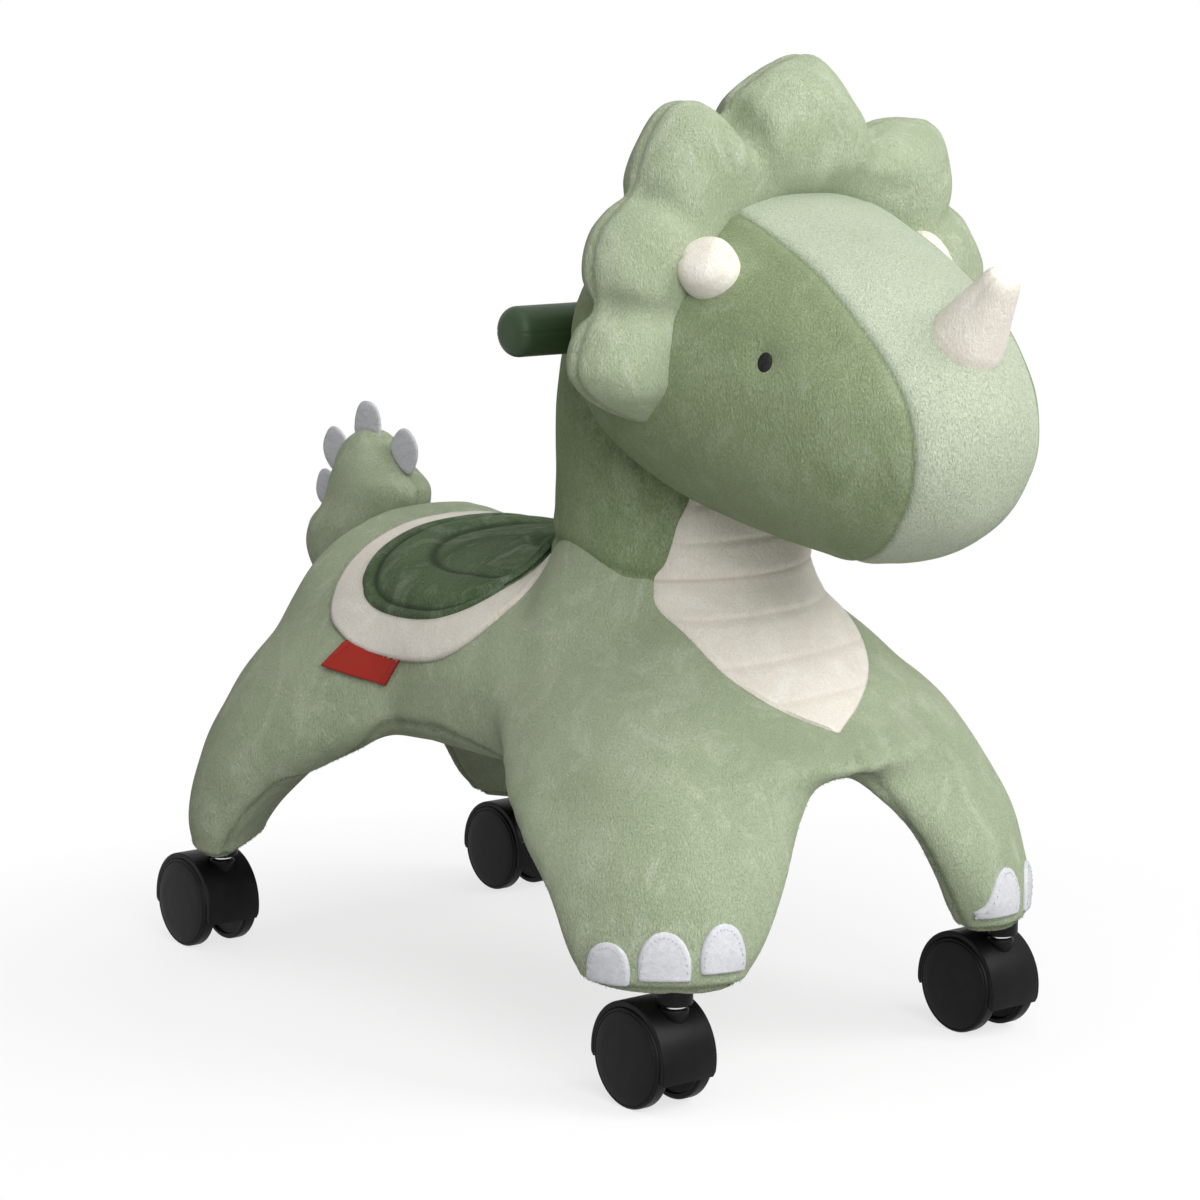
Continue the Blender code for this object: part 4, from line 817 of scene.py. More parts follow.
sewn(body, bodyDetail, sageFur)
rimTree = skinTree(body)
for word, paths, reach in (("seam", seamPaths, 2.2), ("sole", soleRims, 1.6)):
    found = [alongPath(rimTree, path, 0.16, reach, index) for index, path in enumerate(paths)]
    spots, ways = (np.concatenate(part) for part in zip(*found))
    tufts(word + "Fuzz", spots, ways, 1.7, 0.2, 7, sageFur, "sage_plush")
place(body, "root", "sage_plush", "torso", *[corner + "_leg" for corner in corners], fill=0.9)
print("body sewn")


# Neck

neckFolds = [chain(fold) for fold in neck["folds"]]


def neckDetail(points):
    near = nearPaths(points, neckFolds)
    throat = nearPath(points, neckSeam)
    out = 1.0 * wave(points, 70, 5) + 0.4 * wave(points, 24, 9) - 1.2 * hump(near, 6)
    out += -1.0 * hump(throat, 3) + 0.7 * hump(throat - 8, 5)
    # seam values: painted shade along the neck's seam
    return out, {"seam": 0.45 * hump(throat, 2.2)}


# the neck gets the darker copy of the sage: painted shade
sewn(neckPiece, neckDetail, paintedShadeFur)
place(neckPiece, "root", "dark_sage_plush", "neck", fill=0.9)


# Head: a squared ovoid, nose forward and a little down, with a centre panel between two seams

head = {
    "y": -183, "z": 344, "halfWidth": 92, "halfLength": 123, "halfHeight": 78, "pitch": 17.6, "square": 0.78,
    "widthTaper": -0.32, "heightTaper": -0.13, "crown": 0.06, "eye": (0.12, 22.5), "dimple": 3.0,
    # half width of the centre panel against the angle round the head's side, nose 0, crown 90
    "panelAngles": (-72, -62, -49, -37, -22, 0, 30, 60, 120, 180),
    "panelHalf": (0, 13, 25, 31, 36, 39, 41.5, 45, 45, 43)}


def headSkin(along, angle):
    # superellipse sections: forward = sin^q, girth = cos^q, slimmer towards the nose
    bend = along * quarter
    forward = signedPower(np.sin(bend), head["square"])
    girth = np.abs(np.cos(bend)) ** head["square"]
    x = head["halfWidth"] * (1 + head["widthTaper"] * forward) * girth * np.cos(angle)
    up = head["halfHeight"] * (1 + head["heightTaper"] * forward) * girth * np.sin(angle)
    up = up * (1 + head["crown"] * ease(np.sin(angle) * 1.3) * ease((0.75 - forward) / 0.7))
    pitch = math.radians(head["pitch"])
    y = head["y"] - forward * head["halfLength"] * math.cos(pitch) - up * math.sin(pitch)
    z = head["z"] - forward * head["halfLength"] * math.sin(pitch) + up * math.cos(pitch)
    return np.stack([x + 0 * y, y, z], -1)


def panelEdge(points):  # signed distance outwards from the centre panel's seam, in millimetres
    pitch = math.radians(head["pitch"])
    dy = points[..., 1] - head["y"]
    dz = points[..., 2] - head["z"]
    forward = (-dy * math.cos(pitch) - dz * math.sin(pitch)) / head["halfLength"]
    up = (dz * math.cos(pitch) - dy * math.sin(pitch)) / head["halfHeight"]
    turn = np.degrees(np.arctan2(up, forward))
    half, ahead = (np.interp(at, head["panelAngles"], head["panelHalf"]) for at in (turn, turn + 2))
    return (np.abs(points[..., 0]) - half) / np.sqrt(1 + ((ahead - half) / 3.2) ** 2) + 100 * (turn < -76)


eyeTurn = math.radians(head["eye"][1])
eyeSpots = [headSkin(np.array(head["eye"][0]), np.array(turn)) for turn in (eyeTurn, math.pi - eyeTurn)]


def headDetail(points):
    edge = panelEdge(points)
    eye = np.min([np.linalg.norm(points - spot, axis=1) for spot in eyeSpots], 0)
    out = 1.2 * wave(points, 100, 11) + 0.35 * wave(points, 30, 12)
    out += -1.2 * hump(edge, 1.3) + 0.7 * hump(edge - 5, 4.5) + 0.7 * hump(edge + 5, 4.5)
    out -= head["dimple"] * hump(eye, 9)
    # seam paints shade along the panel's seams; panel marks the front panel, which takes the lighter colours
    # as painted light
    return out, {"seam": 0.60 * hump(edge, 0.9), "panel": 1 - ease((edge + 0.6) / 1.2)}


headForm = closedTube("head form", stand(headSkin(*grid(np.linspace(-1, 1, 92)[1:-1], turns(96)))))
headPiece = plushSkin("headPlush", [headForm], 3.5, 6, cap=1.5)
sewn(headPiece, headDetail, headLightAndShadeFur)
place(headPiece, "root", "sage_plush", "head", fill=0.95)


# Frill: a stuffed collar with seven scallops

frill = {
    "y": -160, "z": 365, "root": 66, "tip": 140, "thick": 44, "pinch": 7.5, "sweep": (5, 8),
    # place round the frill in quarter turns, its left side first, and radius as a share of the tip's
    "edge": [(-0.30, 0.66), (-0.19, 0.80), (-0.10, 0.90), (-0.045, 0.945), (0.01, 0.93), (0.07, 0.87),
             (0.117, 0.925), (0.162, 0.945), (0.251, 0.915), (0.355, 0.885), (0.429, 0.928), (0.529, 0.985),
             (0.597, 0.94), (0.66, 0.880), (0.735, 0.820), (0.83, 0.868), (0.90, 0.925), (0.95, 0.968),
             (0.989, 0.990), (1.05, 0.970), (1.119, 0.940), (1.185, 0.910), (1.246, 0.885), (1.305, 0.944),
             (1.379, 0.986), (1.478, 0.955), (1.593, 0.905), (1.655, 0.918), (1.718, 0.943), (1.79, 0.938),
             (1.895, 0.900), (1.992, 0.944), (2.046, 0.962), (2.108, 0.912), (2.20, 0.791), (2.30, 0.65)],
    "valleys": [(0.07, 1), (0.355, 0.5), (0.735, 0.8), (1.246, 1.5), (1.593, 0.5), (1.895, 0.8)]}


def frillMiddle(cosine):  # the sides are swept back a little, the right one more
    left, right = frill["sweep"]
    return frill["y"] + left * ease(cosine / 0.5) + right * ease(-cosine / 0.5)


def frillSkin(across, around):  # sections are ovals between the root ring and the scalloped edge
    row = smoothRows(frill["edge"], across)
    angle = row[..., 0] * quarter
    edge = row[..., 1] * frill["tip"]
    radius = (edge + frill["root"] + (edge - frill["root"]) * np.cos(around)) / 2
    ends = np.clip(np.minimum(across, 1 - across) / 0.05, 0.25, 1)
    depth = frill["thick"] / 2 * signedPower(np.sin(around), 0.8) * ends
    y = frillMiddle(np.cos(angle)) + depth
    return np.stack([radius * np.cos(angle), y, frill["z"] + radius * np.sin(angle)], -1)


def frillDetail(points):
    dx = points[:, 0]
    dz = points[:, 2] - frill["z"]
    radius = np.hypot(dx, dz)
    turn = (np.arctan2(dz, dx) + quarter) % (4 * quarter) - quarter
    out = 1.4 * wave(points, 60, 21) + 0.4 * wave(points, 22, 22)
    seam = np.zeros(len(points))
    depth = points[:, 1] - frillMiddle(dx / radius)
    outside = ease((radius - 96) / 10)
    for valley, share in frill["valleys"]:
        aside = (turn - valley * quarter) * radius
        along = share * ease((radius - 74) / 44)
        out -= frill["pinch"] * hump(aside, 6.5) * along * (0.35 + 0.65 * ease(np.abs(depth) / 8))
        seam += 0.14 * hump(aside, 2.5) * along
    rim = hump(depth, 1.5) * outside
    out += -0.9 * rim + 0.5 * hump(np.abs(depth) - 4.5, 3) * outside
    # seam values: painted shade in the pinched valleys and along the rim seam
    return out, {"seam": np.clip(seam + 0.15 * rim, 0, 1)}


frillPiece = plushSkin("frillPlush", [formOf(frillSkin, 240, 48)], 3.5, 3, cap=2.5)
sewn(frillPiece, frillDetail, sageFur)
place(frillPiece, "root", "sage_plush", "frill", fill=0.85)


# Tail

tail = {
    "y": 206, "bottom": 178, "top": 286, "reach": 48,
    # height, middle, half depth and half width, as shares
    "rows": [(0.00, 0.00, 0.35, 0.25), (0.07, 0.02, 0.45, 0.33), (0.167, 0.06, 0.64, 0.50),
             (0.26, 0.13, 0.80, 0.60), (0.37, 0.16, 0.86, 0.64), (0.495, 0.10, 0.84, 0.63),
             (0.593, -0.10, 0.79, 0.56), (0.722, -0.19, 0.80, 0.50), (0.815, -0.07, 0.57, 0.42),
             (0.898, 0.00, 0.44, 0.34), (0.972, 0.01, 0.25, 0.19), (1.00, 0.00, 0.08, 0.06)]}


def tailSkin(up, angle):  # oval sections up Z
    row = smoothRows(tail["rows"], up)
    height = tail["bottom"] + row[..., 0] * (tail["top"] - tail["bottom"])
    y = tail["y"] + tail["reach"] * (row[..., 1] + row[..., 2] * np.sin(angle))
    return np.stack([tail["reach"] * row[..., 3] * np.cos(angle), y, height + 0 * angle], -1)


def tailDetail(points):
    middle = np.abs(points[:, 0])
    out = 1.3 * wave(points, 50, 31) + 0.4 * wave(points, 20, 32) - 1.2 * hump(middle, 2)
    # seam values: painted shade along the tail's middle seam
    return out, {"seam": 0.35 * hump(middle, 1.6)}


tailPiece = plushSkin("tailPlush", [formOf(tailSkin, 70, 64)], 3.5, 4, cap=2)
sewn(tailPiece, tailDetail, sageFur)
place(tailPiece, "root", "sage_plush", "tail", fill=0.85)
print("neck, head, frill and tail sewn")


# Horns

# Rows are places along the horn and radii, as shares; a seam has a depth and a place round the horn
browHorn = {"foot": (72, -181, 400), "lean": (0.72, -0.30, 0.60), "radius": 14.5, "length": 17,
            "seam": (0.16, 1.9), "rows": [(-0.7, 0.70), (-0.2, 0.96), (0.25, 1.04), (0.6, 0.98), (0.85, 0.76),
                                          (0.97, 0.42), (1.0, 0.08)]}
noseHorn = {"foot": (0, -281, 371), "lean": (0, -0.60, 0.78), "radius": 17.5, "length": 42,
            "seam": (0.07, 0), "rows": [(-0.25, 1.04), (0.0, 1.05), (0.2, 0.97), (0.45, 0.80), (0.7, 0.63),
                                        (0.88, 0.52), (0.97, 0.36), (1.0, 0.08)]}


def hornPiece(name, look, hand, node):
    # rings along a leaning axis, radius by rows; a puckered seam runs over the tip
    lean = unit(np.array(look["lean"]) * (hand, 1, 1))
    side = unit(np.cross(lean, (0.0, 1.0, 0.0)))
    third = np.cross(lean, side)
    along, girth = smoothRows(look["rows"], even(40)).T[..., None, None]
    angle = turns(56)[:, None]
    depth, way = look["seam"]
    pucker = 1 - depth * hump(np.sin(angle - way), 0.16) * ease((along - 0.15) / 0.6)
    ring = girth * look["radius"] * pucker * (np.cos(angle) * side + np.sin(angle) * third)
    foot = np.array(look["foot"]) * (hand, 1, 1)
    piece = closedTube(name, stand(foot + along * look["length"] * lean + ring), creamFur)
    points = readPoints(piece.data) / mm
    writePoints(piece.data, (points + readNormals(piece.data) * (0.5 * wave(points, 18, 41))[:, None]) * mm)
    place(piece, "root", "cream_plush", node, fill=0.9)


hornPiece("noseHorn", noseHorn, 1, "nose_horn")
hornPiece("leftBrowHorn", dict(browHorn, foot=(65, -177, 397)), 1, "left_brow_horn")
hornPiece("rightBrowHorn", browHorn, -1, "right_brow_horn")


# Eyes: satin stitch ovals in small dimples

eye = {"halfWidth": 4.2, "halfHeight": 5.6, "rise": 1.6, "edge": -0.2, "sink": 1.0}


def eyePiece(name, spot, node):  # a low dome of rings laid on the head
    centre, out = (found[0] for found in onSkin(headTree, stand(spot)[None]))
    out = unit(out)
    up = unit(np.array([0, 0, 1]) - out * out[2])
    across = np.cross(up, out)
    reach, turn = np.array(grid(np.sin(np.linspace(0.02, 1, 12) * quarter), turns(40)))[..., None]
    flat = reach * (eye["halfWidth"] * np.cos(turn) * across + eye["halfHeight"] * np.sin(turn) * up)
    dome = (eye["rise"] * np.sqrt(np.maximum(0, 1 - reach ** 2)) + eye["edge"]) * out
    rings = centre + (flat + dome) * mm
    skirt = rings[-1:] - eye["sink"] * mm * out
    place(closedTube(name, np.concatenate([rings, skirt]), blackThread), "root", "eye_thread", node)


headTree = skinTree(headPiece)
eyePiece("leftEye", eyeSpots[0], "left_eye")
eyePiece("rightEye", eyeSpots[1], "right_eye")


# Felt: spikes on the tail's seam and claws on the front feet

spike = {
    "thick": 2.4, "root": 7,
    # middle of the foot (y, z), outward way (y, z), width and length of each
    "spots": [((175, 273), (-0.63, 0.78), 26, 16.5), ((209, 284.5), (-0.10, 1.0), 27, 17),
              ((240, 270), (0.82, 0.58), 25, 14.5), ((251, 247), (0.93, 0.36), 22, 11)]}


def spikeForm(foot, way, width, length):  # a rounded plate standing on the seam
    foot = np.array([0, *foot])
    out = unit(np.array([0, *way]))
    along = np.array([0, out[2], -out[1]])
    reach, turn = grid(np.linspace(0.04, 1, 10), turns(48))
    across = width / 2 * reach * signedPower(np.cos(turn), 0.8)
    height = reach * signedPower(np.sin(turn), 0.85) * np.where(np.sin(turn) > 0, length, spike["root"])
    flat = foot + across[..., None] * along + height[..., None] * out
    half = spike["thick"] / 2 * np.sqrt(np.maximum(0, 1 - reach ** 6))[..., None] * np.array([1, 0, 0])
    return closedTube("spike form", stand(np.concatenate([(flat + half), (flat - half)[::-1][1:]])))


spikes = [spikeForm(*spot) for spot in spike["spots"]]
place(joined("tailSpikes", spikes, felt), "root", "grey_felt", "tail_spikes")

claw = {
    "thick": 1.8, "stitches": 17, "stitchInset": 2.6,
    # place across the foot, width, lowest point above the sole and height of each claw
    "spots": {"front_right": [(-23, 23.5, 11.5, 23.5), (5, 27.5, 8.5, 23.5), (32, 23, 6, 20)],
              "front_left": [(-30, 22, 10.5, 25), (0, 26, 9, 23.5), (27, 23, 7, 20)]}}


def legAngle(up, across):  # angle on a leg's skin at which its broad side reaches this far
    row = smoothRows(leg["rows"], up)
    half = np.where(across > 0, row[..., 5], row[..., 6]) * leg["reach"]
    return np.sign(across) * np.arcsin(np.clip(np.abs(across) / half, 0, 0.999) ** (1 / leg["square"]))


def onFoot(side, end, across, height):  # points and normals of the skin, by place across a foot and height
    up = upAt(leg["sole"] + height)
    return onSkin(bodyTree, stand(legSkin(side, end, up, legAngle(up, across))))


def clawForm(side, end, spot):  # half oval patch: rows go up, each as wide as the oval there
    centre, full, low, height = spot
    v, u = grid(even(22), np.linspace(-1, 1, 21))
    width = full / 2 * np.sqrt(np.maximum(0.0, 1 - v ** 2.6)) * (1 - 0.10 * (1 - v) ** 2)
    places, normals = onFoot(side, end, centre + u * np.maximum(width, 0.4), low + v * height)
    edge = np.sqrt(np.clip(1 - np.maximum(np.abs(u), v) ** 8, 0, 1))[..., None]
    outer = places + normals * (0.6 + (claw["thick"] - 0.6) * edge) * mm
    return closedSlab("claw form", outer, places - normals * 0.8 * mm)


def stitchForms(side, end, spot):  # short thread dashes a little inside the claw's edge
    centre, full, low, tall = spot
    turn = np.linspace(0.06, math.pi - 0.06, claw["stitches"] * 2)
    across = centre + (full / 2 - claw["stitchInset"]) * np.cos(turn)
    height = low + 1.5 + (tall - claw["stitchInset"] - 1.5) * np.sin(turn) ** 0.85
    places, normals = onFoot(side, end, across, height)
    t = np.linspace(-1, 1, 5)[:, None, None]
    angle = turns(6)[:, None]
    girth = 0.32 * mm * np.sqrt(np.maximum(0.05, 1 - t ** 2))
    forms = []
    for one, two, out in zip(places[::2], places[1::2], normals[::2]):
        run = (two - one) * 0.45
        ring = girth * (np.cos(angle) * unit(np.cross(run, out)) + np.sin(angle) * out)
        middle = (one + two) / 2 + t * run + out * (claw["thick"] + 0.02) * mm
        forms.append(closedTube("stitch", middle + ring))
    return forms


bodyTree = skinTree(body)
for corner, spots in claw["spots"].items():
    side, end = corners[corner]
    word = "left" if side > 0 else "right"
    claws = [clawForm(side, end, spot) for spot in spots]
    dashes = [form for spot in spots for form in stitchForms(side, end, spot)]
    place(joined(word + "Claws", claws, felt), "root", "grey_felt", corner + "_claws")
    place(joined(word + "ClawStitches", dashes, greyThread), "root", "grey_felt")
print("horns, eyes, spikes and claws made")


# Chest panel laid on the front

def bibPiece():
    v, u = grid(even(190), np.linspace(-1, 1, 110))
    x = u * bibEdge(v)
    z = bibHeight(v)
    skin = bibSkin(x, z)
    y = skin.copy()
    for turn in range(40):
        y[1:-1, 1:-1] += 0.5 * ((y[2:, 1:-1] + y[:-2, 1:-1] + y[1:-1, 2:] + y[1:-1, :-2]) / 4 - y[1:-1, 1:-1])
        y = np.minimum(y, skin)
    height = z - bib["slope"] * x
    nearest = np.min([np.abs(height - line) for line in bib["channels"]], 0)
    rim = np.clip((1 - np.abs(u)) * bibEdge(v) / bib["rim"], 0, 1)
    soft = ease(np.minimum(rim, np.clip((z - bib["bottom"]) / bib["rim"], 0, 1)))
    rise = bib["edge"] + soft * (bib["rise"] + bib["puff"] * (1 - 1.3 * hump(nearest, 1.8)))
    outer, inner = (stand(np.stack([x, y + depth, z], -1)) for depth in (-rise, bib["sink"]))
    piece = closedSlab("chestPanel", outer, inner, creamFur)
    # painted shade along the sewn channels, a strong painted shadow along the channel below the neck, and
    # painted shade at the panel's rim
    paint(piece, "seam", 0.16 * hump(nearest, 0.9) + 0.4 * hump(height - bib["paintedShadowChannel"], 0.8)
          + 0.1 * (1 - ease(rim * 2)))
    place(piece, "root", "cream_plush", "chest_panel", fill=0.4)


chestTrees = skinTree(body, neckPiece)
bibPiece()


# Saddle: cream blanket with a quilted green pad on it

blanket = {"y": 48, "halfLength": 80, "drop": 80, "square": 0.68, "lift": 3.0, "edge": 2.0, "sink": 3}
pad = {"y": 46, "halfLength": 69, "drop": 63, "square": 0.78, "border": 0.935, "inner": (0.62, 0.78),
       "front": -46, "sink": 1}


def saddleGrid(look, rings, around, front=None):
    # squared oval on the back; towards its middle each ring slides to the front point, if one is given
    reach, turn = grid(even(rings + 1)[1:], turns(around))
    centre = look["y"] if front is None else front + (look["y"] - front) * reach
    y = centre + reach * look["halfLength"] * signedPower(np.cos(turn), look["square"])
    angle = quarter + reach * math.radians(look["drop"]) * signedPower(np.sin(turn), look["square"])
    return reach, turn, stand(torsoSkin(torsoAlong(y), angle))


def saddlePiece(name, look, rings, around, height, tone, material, finish, node, fill, front=None):
    reach, turn, flat = saddleGrid(look, rings, around, front)
    places, normals = onSkin(bodyTree, flat)
    outer = places + normals * height(reach, turn)[..., None] * mm
    inner = places - normals * look["sink"] * mm
    piece = closedTube(name, np.concatenate([outer, inner[::-1]]), material)
    paint(piece, "seam", tone(reach, turn))
    place(piece, "root", finish, node, fill=fill)
    return name + "Fuzz", skinTree(piece), local(saddleGrid(look, 1, 400, front)[2][0]), material, finish


def blanketHeight(reach, turn):
    return blanket["edge"] + (blanket["lift"] - blanket["edge"]) * (1 - reach ** 14)


# the blanket's outermost edge is painted darker: a painted shadow line where it stands off the body
def blanketEdgeShadow(reach, turn):
    return 0.2 * (reach > 0.985)


def innerGroove(turn):  # the sewn U runs further out at the rear than at the sides
    side, rear = pad["inner"]
    return side + (rear - side) * np.maximum(np.cos(turn), 0) ** 1.5


def padHeight(reach, turn):  # a rolled border, a band and a tongue, each puffed between sewn grooves
    inner = innerGroove(turn)
    border = np.sin(np.clip((reach - pad["border"]) / (1 - pad["border"]), 0, 1) * math.pi) ** 0.6
    band = np.sin(np.clip((reach - inner) / (pad["border"] - inner), 0, 1) * math.pi) ** 0.7
    tongue = 1 - np.clip(reach / inner, 0, 1) ** 5
    crease = hump(reach - inner * 0.5, 0.03)
    return (blanket["lift"] + 0.5 + 2.6 * border + (reach < pad["border"]) * 0.8 + 4.2 * band + 4.2 * tongue
            - 1.8 * crease)


# painted shade in the pad's sewn grooves and along its rolled border
def padGrooveShade(reach, turn):
    inner = innerGroove(turn)
    return (0.85 * hump(reach - pad["border"], 0.012) + 0.8 * hump(reach - inner, 0.016)
            + 0.5 * hump(reach - inner * 0.5, 0.014))


edges = [saddlePiece("saddleBlanket", blanket, 46, 190, blanketHeight, blanketEdgeShadow, creamFur, "cream_plush",
                     "saddle_blanket", 0.3),
         saddlePiece("seatPad", pad, 80, 190, padHeight, padGrooveShade, forestFur, "forest_plush", "seat_pad", 0.6,
                     pad["front"])]
for word, tree, edge, material, finish in edges:
    tufts(word, *alongPath(tree, edge, 0.10, 0.9, 5), 2.0, 0.2, 8, material, finish)
print("chest panel and saddle laid")


# Side label: a bare folded tape under the blanket's edge

tag = {"rear": 81, "long": 43.5, "top": 191.5, "drop": 4.5, "show": 15.5, "under": 4, "slant": 9,
       "thick": 1.3, "lift": 0.6, "hem": 3.5}


def tagPiece():
    v, u = grid(even(26), even(60))  # v up, u forwards
    tall = tag["show"] + tag["under"]
    down = tag["show"] - v * tall
    y = tag["rear"] - tag["long"] * u + tag["slant"] * down / tag["show"]
    z = tag["top"] - tag["drop"] * u - down
    skin = rayOnSkin(bodyTree, stand(np.stack([0 * y - 400, y, z], -1)), (1.0, 0.0, 0.0))
    places, normals = onSkin(bodyTree, skin)
    end = np.minimum(u, 1 - u) * tag["long"]
    hem = 0.45 * ease((tag["hem"] - end) / 0.8) - 0.25 * hump(end - tag["hem"], 0.5)
    fold = tag["lift"] - 2.6 * ease((2.5 - down) / 3) + 0.9 * ease(down / tag["show"])
    fold += 0.3 * np.sin(u * 5 + 1)
    outer = places + normals * (fold + tag["thick"] + hem)[..., None] * mm
    piece = closedSlab("sideTag", outer, places + normals * fold[..., None] * mm, redTape)
    flat = np.stack([u * tag["long"], v * tall], -1).reshape(-1, 2)
    index = np.empty(len(piece.data.loops), np.int32)
    piece.data.loops.foreach_get("vertex_index", index)
    layer = piece.data.uv_layers.new(name="weave")
    layer.data.foreach_set("uv", flat[index % len(flat)].astype(np.float32).ravel())
    place(piece, "root", "red_tape", "side_tag")


tagPiece()


# Handlebar grips

grip = {"radius": 12.8, "end": 103.5, "start": 47, "bore": 8.3, "round": 7, "wall": 5, "parting": 0.35}


def gripPiece(name, hand, node):  # a turned sleeve with a round closed end and a moulding line along it
    low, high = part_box("handlebar_tube")
    centre = (np.array(low) + np.array(high)) / 2 * (0, 1, 1)
    radius, end, start, bore, curve = (grip[word] for word in ("radius", "end", "start", "bore", "round"))
    floor = end - grip["wall"] + 0.3
    arc = np.linspace(0, quarter, 14)
    straight = np.linspace(start + 1, end - curve - 0.5, 20)
    outline = np.concatenate([
        [(0.01, floor), (bore, floor), (bore, start), (radius - 0.6, start), (radius, start + 0.6)],
        np.stack([0 * straight + radius, straight], -1),
        (radius - curve, end - curve) + curve * np.stack([np.cos(arc), np.sin(arc)], -1),
        [(3, end), (0.01, end)]])
    angle = turns(96)[None, :]
    line = grip["parting"] * hump(np.sin(angle), 0.035) * (outline[:, :1] > bore + 0.5)
    girth = outline[:, :1] - line
    rings = np.stack([hand * (outline[:, 1:] + 0 * angle), girth * np.cos(angle), girth * np.sin(angle)], -1)
    place(closedTube(name, rings * mm + centre, gripPlastic), "root", "grip_plastic", node)


gripPiece("leftGrip", 1, "left_grip")
gripPiece("rightGrip", -1, "right_grip")
print("label and grips made")


# Casters: built once about the stem's floor point, then copied to each corner

caster = {"trail": frontAxle[1] - frontStem[1], "axleHeight": frontAxle[2], "wheelRadius": 25,
          "outerFace": 18.7, "innerFace": 10.3, "hub": 7.7, "hubRadius": 8, "bore": 2.8, "hoodRadius": 28.2,
          "hoodWall": 2.2, "hoodHalf": 16.7, "hoodLip": 1.1, "hoodRim": 1.8, "hoodStart": -18, "hoodEnd": 190,
          "hoodSteps": 90, "webHalf": 6.6, "bossRadius": 7, "bossTop": 51, "bossLow": 36, "stemRadius": 4,
          "flange": 5.6, "collar": 8.9, "collarLow": 52.8, "collarHeight": 7.7, "socketTop": 82}


def roundAxle(across, reach, angle):  # points by place across, distance from the axle and angle
    return np.stack([across + 0 * reach, caster["trail"] - np.cos(angle) * reach,
                     caster["axleHeight"] + np.sin(angle) * reach], -1) * mm


def hoodForms():
    # a rounded band carried along an arc, a web that fills it between the wheels, a boss for the stem
    c = caster
    half, outer, inner = c["hoodHalf"], c["hoodRadius"], c["hoodRadius"] - c["hoodWall"]
    lip, inside = inner - c["hoodLip"], half - c["hoodRim"]
    section = [(-half, lip), (-half, outer), (0, outer + 0.02), (half, outer), (half, lip), (inside, lip),
               (inside, inner), (0, inner), (-inside, inner), (-inside, lip)]
    section = roundedProfile(section + section[:2], 0.75)[1:-1]
    t = even(c["hoodSteps"])[:, None]
    angle = np.radians(c["hoodStart"] + (c["hoodEnd"] - c["hoodStart"]) * t)
    thin = 1 - 0.35 * (1 - np.sin(math.pi * t) ** 0.06)
    narrow = 1 - 0.06 * hump(np.minimum(t, 1 - t) * (c["hoodSteps"] - 1), 1.2)
    reach = (section[:, 1] - outer) * thin + outer
    cover = closedTube("cover", roundAxle(section[:, 0] * narrow, reach, angle))
    reach = np.linspace(1, 0.02, 3)[:, None] * (inner + 0.6) + 0 * angle.T
    web = closedSlab("web", *[roundAxle(side * c["webHalf"], reach, angle.T) for side in (1, -1)])
    low, top, radius = c["bossLow"], c["bossTop"], c["bossRadius"]
    profile = [(0.01, low - 1.4), (1.0, low - 1), (radius - 0.7, low + 11), (radius, low + 13),
               (radius, top - 0.7), (radius - 0.5, top), (0.01, top)]
    return [cover, web, turnedPiece("boss", roundedProfile(profile, 1.0, 4), 48)]


def wheelForm(hand):  # closed dished face outside, flat tread, recess and hub inside
    c = caster
    rim, face, back, hub, bore = c["wheelRadius"], c["outerFace"], c["innerFace"], c["hubRadius"], c["bore"]
    form = turnedPiece("wheel", roundedProfile([
        (0.01, face), (10, face - 0.1), (18, face - 0.45), (rim - 2.3, face - 0.9), (rim - 2, face - 1.5),
        (rim - 1.6, face - 1.5), (rim - 1.3, face - 1.1), (rim - 0.7, face - 1.3), (rim, face - 2.2),
        (rim, back + 0.7), (rim - 0.7, back), (rim - 2.6, back), (rim - 3.4, back + 1.8),
        (hub + 1.2, back + 1.8), (hub, back), (hub - 0.4, c["hub"]), (bore, c["hub"]), (bore, face - 0.45),
        (0.01, face - 0.45)], 0.7), 96)
    axle = np.array([0, c["trail"], c["axleHeight"]]) * mm
    writePoints(form.data, readPoints(form.data)[:, [2, 0, 1]] * (hand, 1, 1) + axle)
    return form


def cornerPiece(name, forms, material, foot, body, finish, *nodes):
    piece = joined(name, forms, material)
    faceOut(piece.data)
    writePoints(piece.data, readPoints(piece.data) + stand(foot))
    piece.data.shade_smooth()
    piece.data.set_sharp_from_angle(angle=math.radians(35))
    place(piece, body, finish, *nodes)


def socketForm():
    radius, low, top = caster["collar"], caster["collarLow"], caster["socketTop"]
    high = low + caster["collarHeight"]
    return turnedPiece("socket", roundedProfile([
        (0.01, 78.4), (4.3, 78.4), (4.3, low), (radius - 0.8, low), (radius, low + 0.8), (radius, high),
        (6, high), (6, top), (0.01, top)], 0.4), 56)


def stemForm():
    radius, flange = caster["stemRadius"], caster["flange"]
    return turnedPiece("stem", roundedProfile([
        (0.01, 37), (radius, 37), (radius, 51.3), (flange, 51.3), (flange, 52.5), (radius, 52.5),
        (radius, 77.2), (radius - 0.8, 78), (0.01, 78)], 0.3), 48)


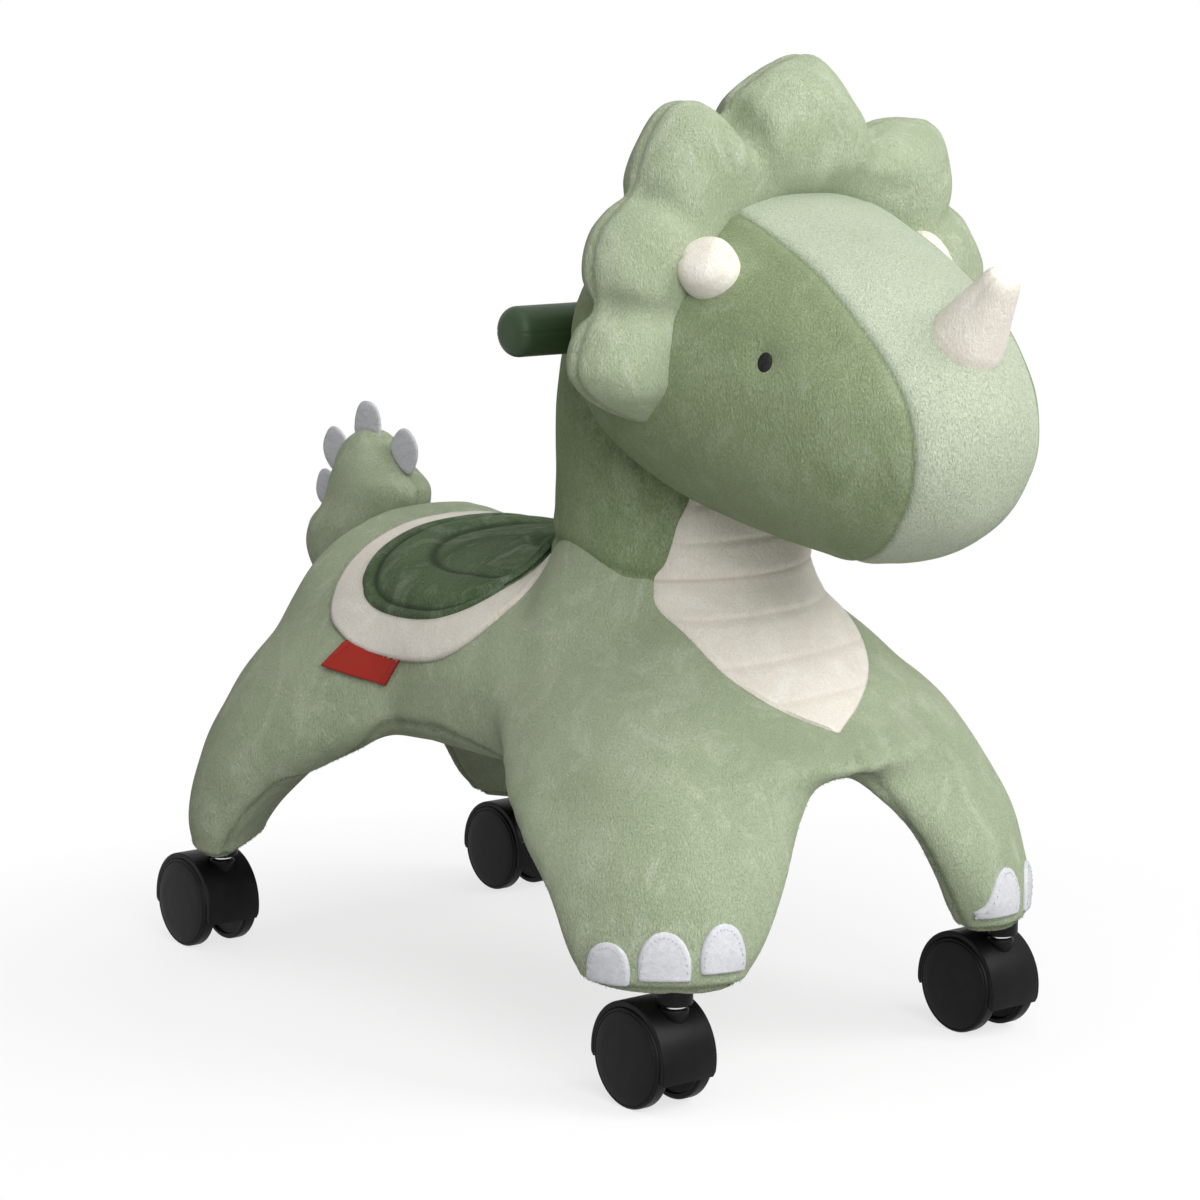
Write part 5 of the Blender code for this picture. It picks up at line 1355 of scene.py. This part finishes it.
for corner, (side, end) in corners.items():
    foot = (side * stemX, end * stemY, 0)
    word = corner.replace("_l", "L").replace("_r", "R")
    swivel = corner + "_caster"
    cornerPiece(word + "Hood", hoodForms(), blackPlastic, foot, swivel, "black_plastic", corner + "_hood")
    cornerPiece(word + "Stem", [stemForm()], steel, foot, swivel, "bright_steel", corner + "_stem")
    cornerPiece(word + "Socket", [socketForm()], blackPlastic, foot, "root", "black_plastic",
                corner + "_socket")
    for hand, way in (("left", 1), ("right", -1)):
        cornerPiece(word + hand.capitalize() + "Wheel", [wheelForm(way)], blackPlastic, foot,
                    corner + "_" + hand + "_wheel", "black_plastic", corner + "_wheel_" + hand)
print("casters made")


# Hidden frame: the CAD's own pieces with finished materials

frameFinish = {"front_leg_frame": paintedSteel, "rear_leg_frame": paintedSteel, "spine_rail": paintedSteel,
               "neck_post": paintedSteel, "seat_board": plywood, "handlebar_tube": steel}
for name, node in frame["nodes"].items():
    if node.hide_render:
        continue
    node.data.materials.clear()
    node.data.materials.append(frameFinish.get(name, steel))
print("frame finished")


# Floor, light and camera

def seenPath(tree):  # 1 for camera, glossy and transmission rays
    path = addNode(tree, "ShaderNodeLightPath")
    seen = path.outputs["Is Camera Ray"]
    for word in ("Is Glossy Ray", "Is Transmission Ray"):
        seen = mathOf(tree, "MAXIMUM", seen, path.outputs[word])
    return seen


def mixShaders(tree, factor, one, two, out):  # one, two and out are nodes
    mix = addNode(tree, "ShaderNodeMixShader")
    for index, socket in enumerate((factor, one.outputs[0], two.outputs[0])):
        tree.links.new(socket, mix.inputs[index])
    tree.links.new(mix.outputs[0], out.inputs["Surface"])


def floorMaterial():  # a pale sheet that keeps its shadow near the toy and fades to plain white around it
    material, tree, shader = newMaterial("pale floor", 0.9, 0.0, 0.1)
    seen = seenPath(tree)
    tree.links.new(mixOf(tree, seen, (0.45, 0.45, 0.45), (0.93, 0.93, 0.93)), shader.inputs["Base Color"])
    where = addNode(tree, "ShaderNodeTexCoord")
    far = addNode(tree, "ShaderNodeVectorMath", operation="LENGTH")
    tree.links.new(where.outputs["Object"], far.inputs[0])
    share = spread(tree, far.outputs["Value"], 0.25, 0.50, 0.72, 1.0)
    white = addNode(tree, "ShaderNodeEmission", Strength=1.0)
    mixShaders(tree, mathOf(tree, "MULTIPLY", share, seen), shader, white, tree.nodes["Material Output"])
    return material


def stage():
    size = 30
    square = [(-size, -size, 0), (size, -size, 0), (size, size, 0), (-size, size, 0)]
    floor = meshPiece("floor", square, [(0, 1, 2, 3)], floorMaterial(), False)
    world = bpy.data.worlds.new("studio")
    bpy.context.scene.world = world
    world.use_nodes = True
    tree = world.node_tree
    tree.nodes.clear()
    light, white = (addNode(tree, "ShaderNodeBackground", Color=(1, 1, 1, 1), Strength=level)
                    for level in (0.30, 1.0))
    mixShaders(tree, seenPath(tree), light, white, addNode(tree, "ShaderNodeOutputWorld"))


def aimed(name, data, start, aim):  # an object in the scene that looks from one place to another
    thing = standing(name, data)
    thing.location = start
    thing.rotation_mode = "QUATERNION"
    thing.rotation_quaternion = (Vector(aim) - Vector(start)).to_track_quat("-Z", "Y")
    return thing


def areaLamp(name, azimuth, elevation, distance, size, power):
    a, e = math.radians(azimuth), math.radians(elevation)
    aim = Vector((0, 0, 0.22))
    back = Vector((math.sin(a) * math.cos(e), -math.cos(a) * math.cos(e), math.sin(e)))
    lamp = bpy.data.lights.new(name, "AREA")
    lamp.shape = "DISK"
    lamp.size = size
    lamp.energy = power
    aimed(name, lamp, aim + back * distance, aim)


shot = {"place": (-1215.5, -1536.3, 530.9), "aim": (-140.3, -181.7, 250), "lens": 111.79}


def camera():
    lens = bpy.data.cameras.new("camera")
    lens.lens = shot["lens"]
    lens.sensor_width = 36
    lens.clip_end = 60
    bpy.context.scene.camera = aimed("camera", lens, stand(shot["place"]), stand(shot["aim"]))


stage()
areaLamp("key", 30, 38, 2.2, 1.2, 25)
areaLamp("front", -22, 25, 2.4, 1.6, 36)
areaLamp("above", -40, 74, 2.2, 1.8, 12)
camera()
bpy.context.scene.view_settings.view_transform = "Standard"
print("stage set")
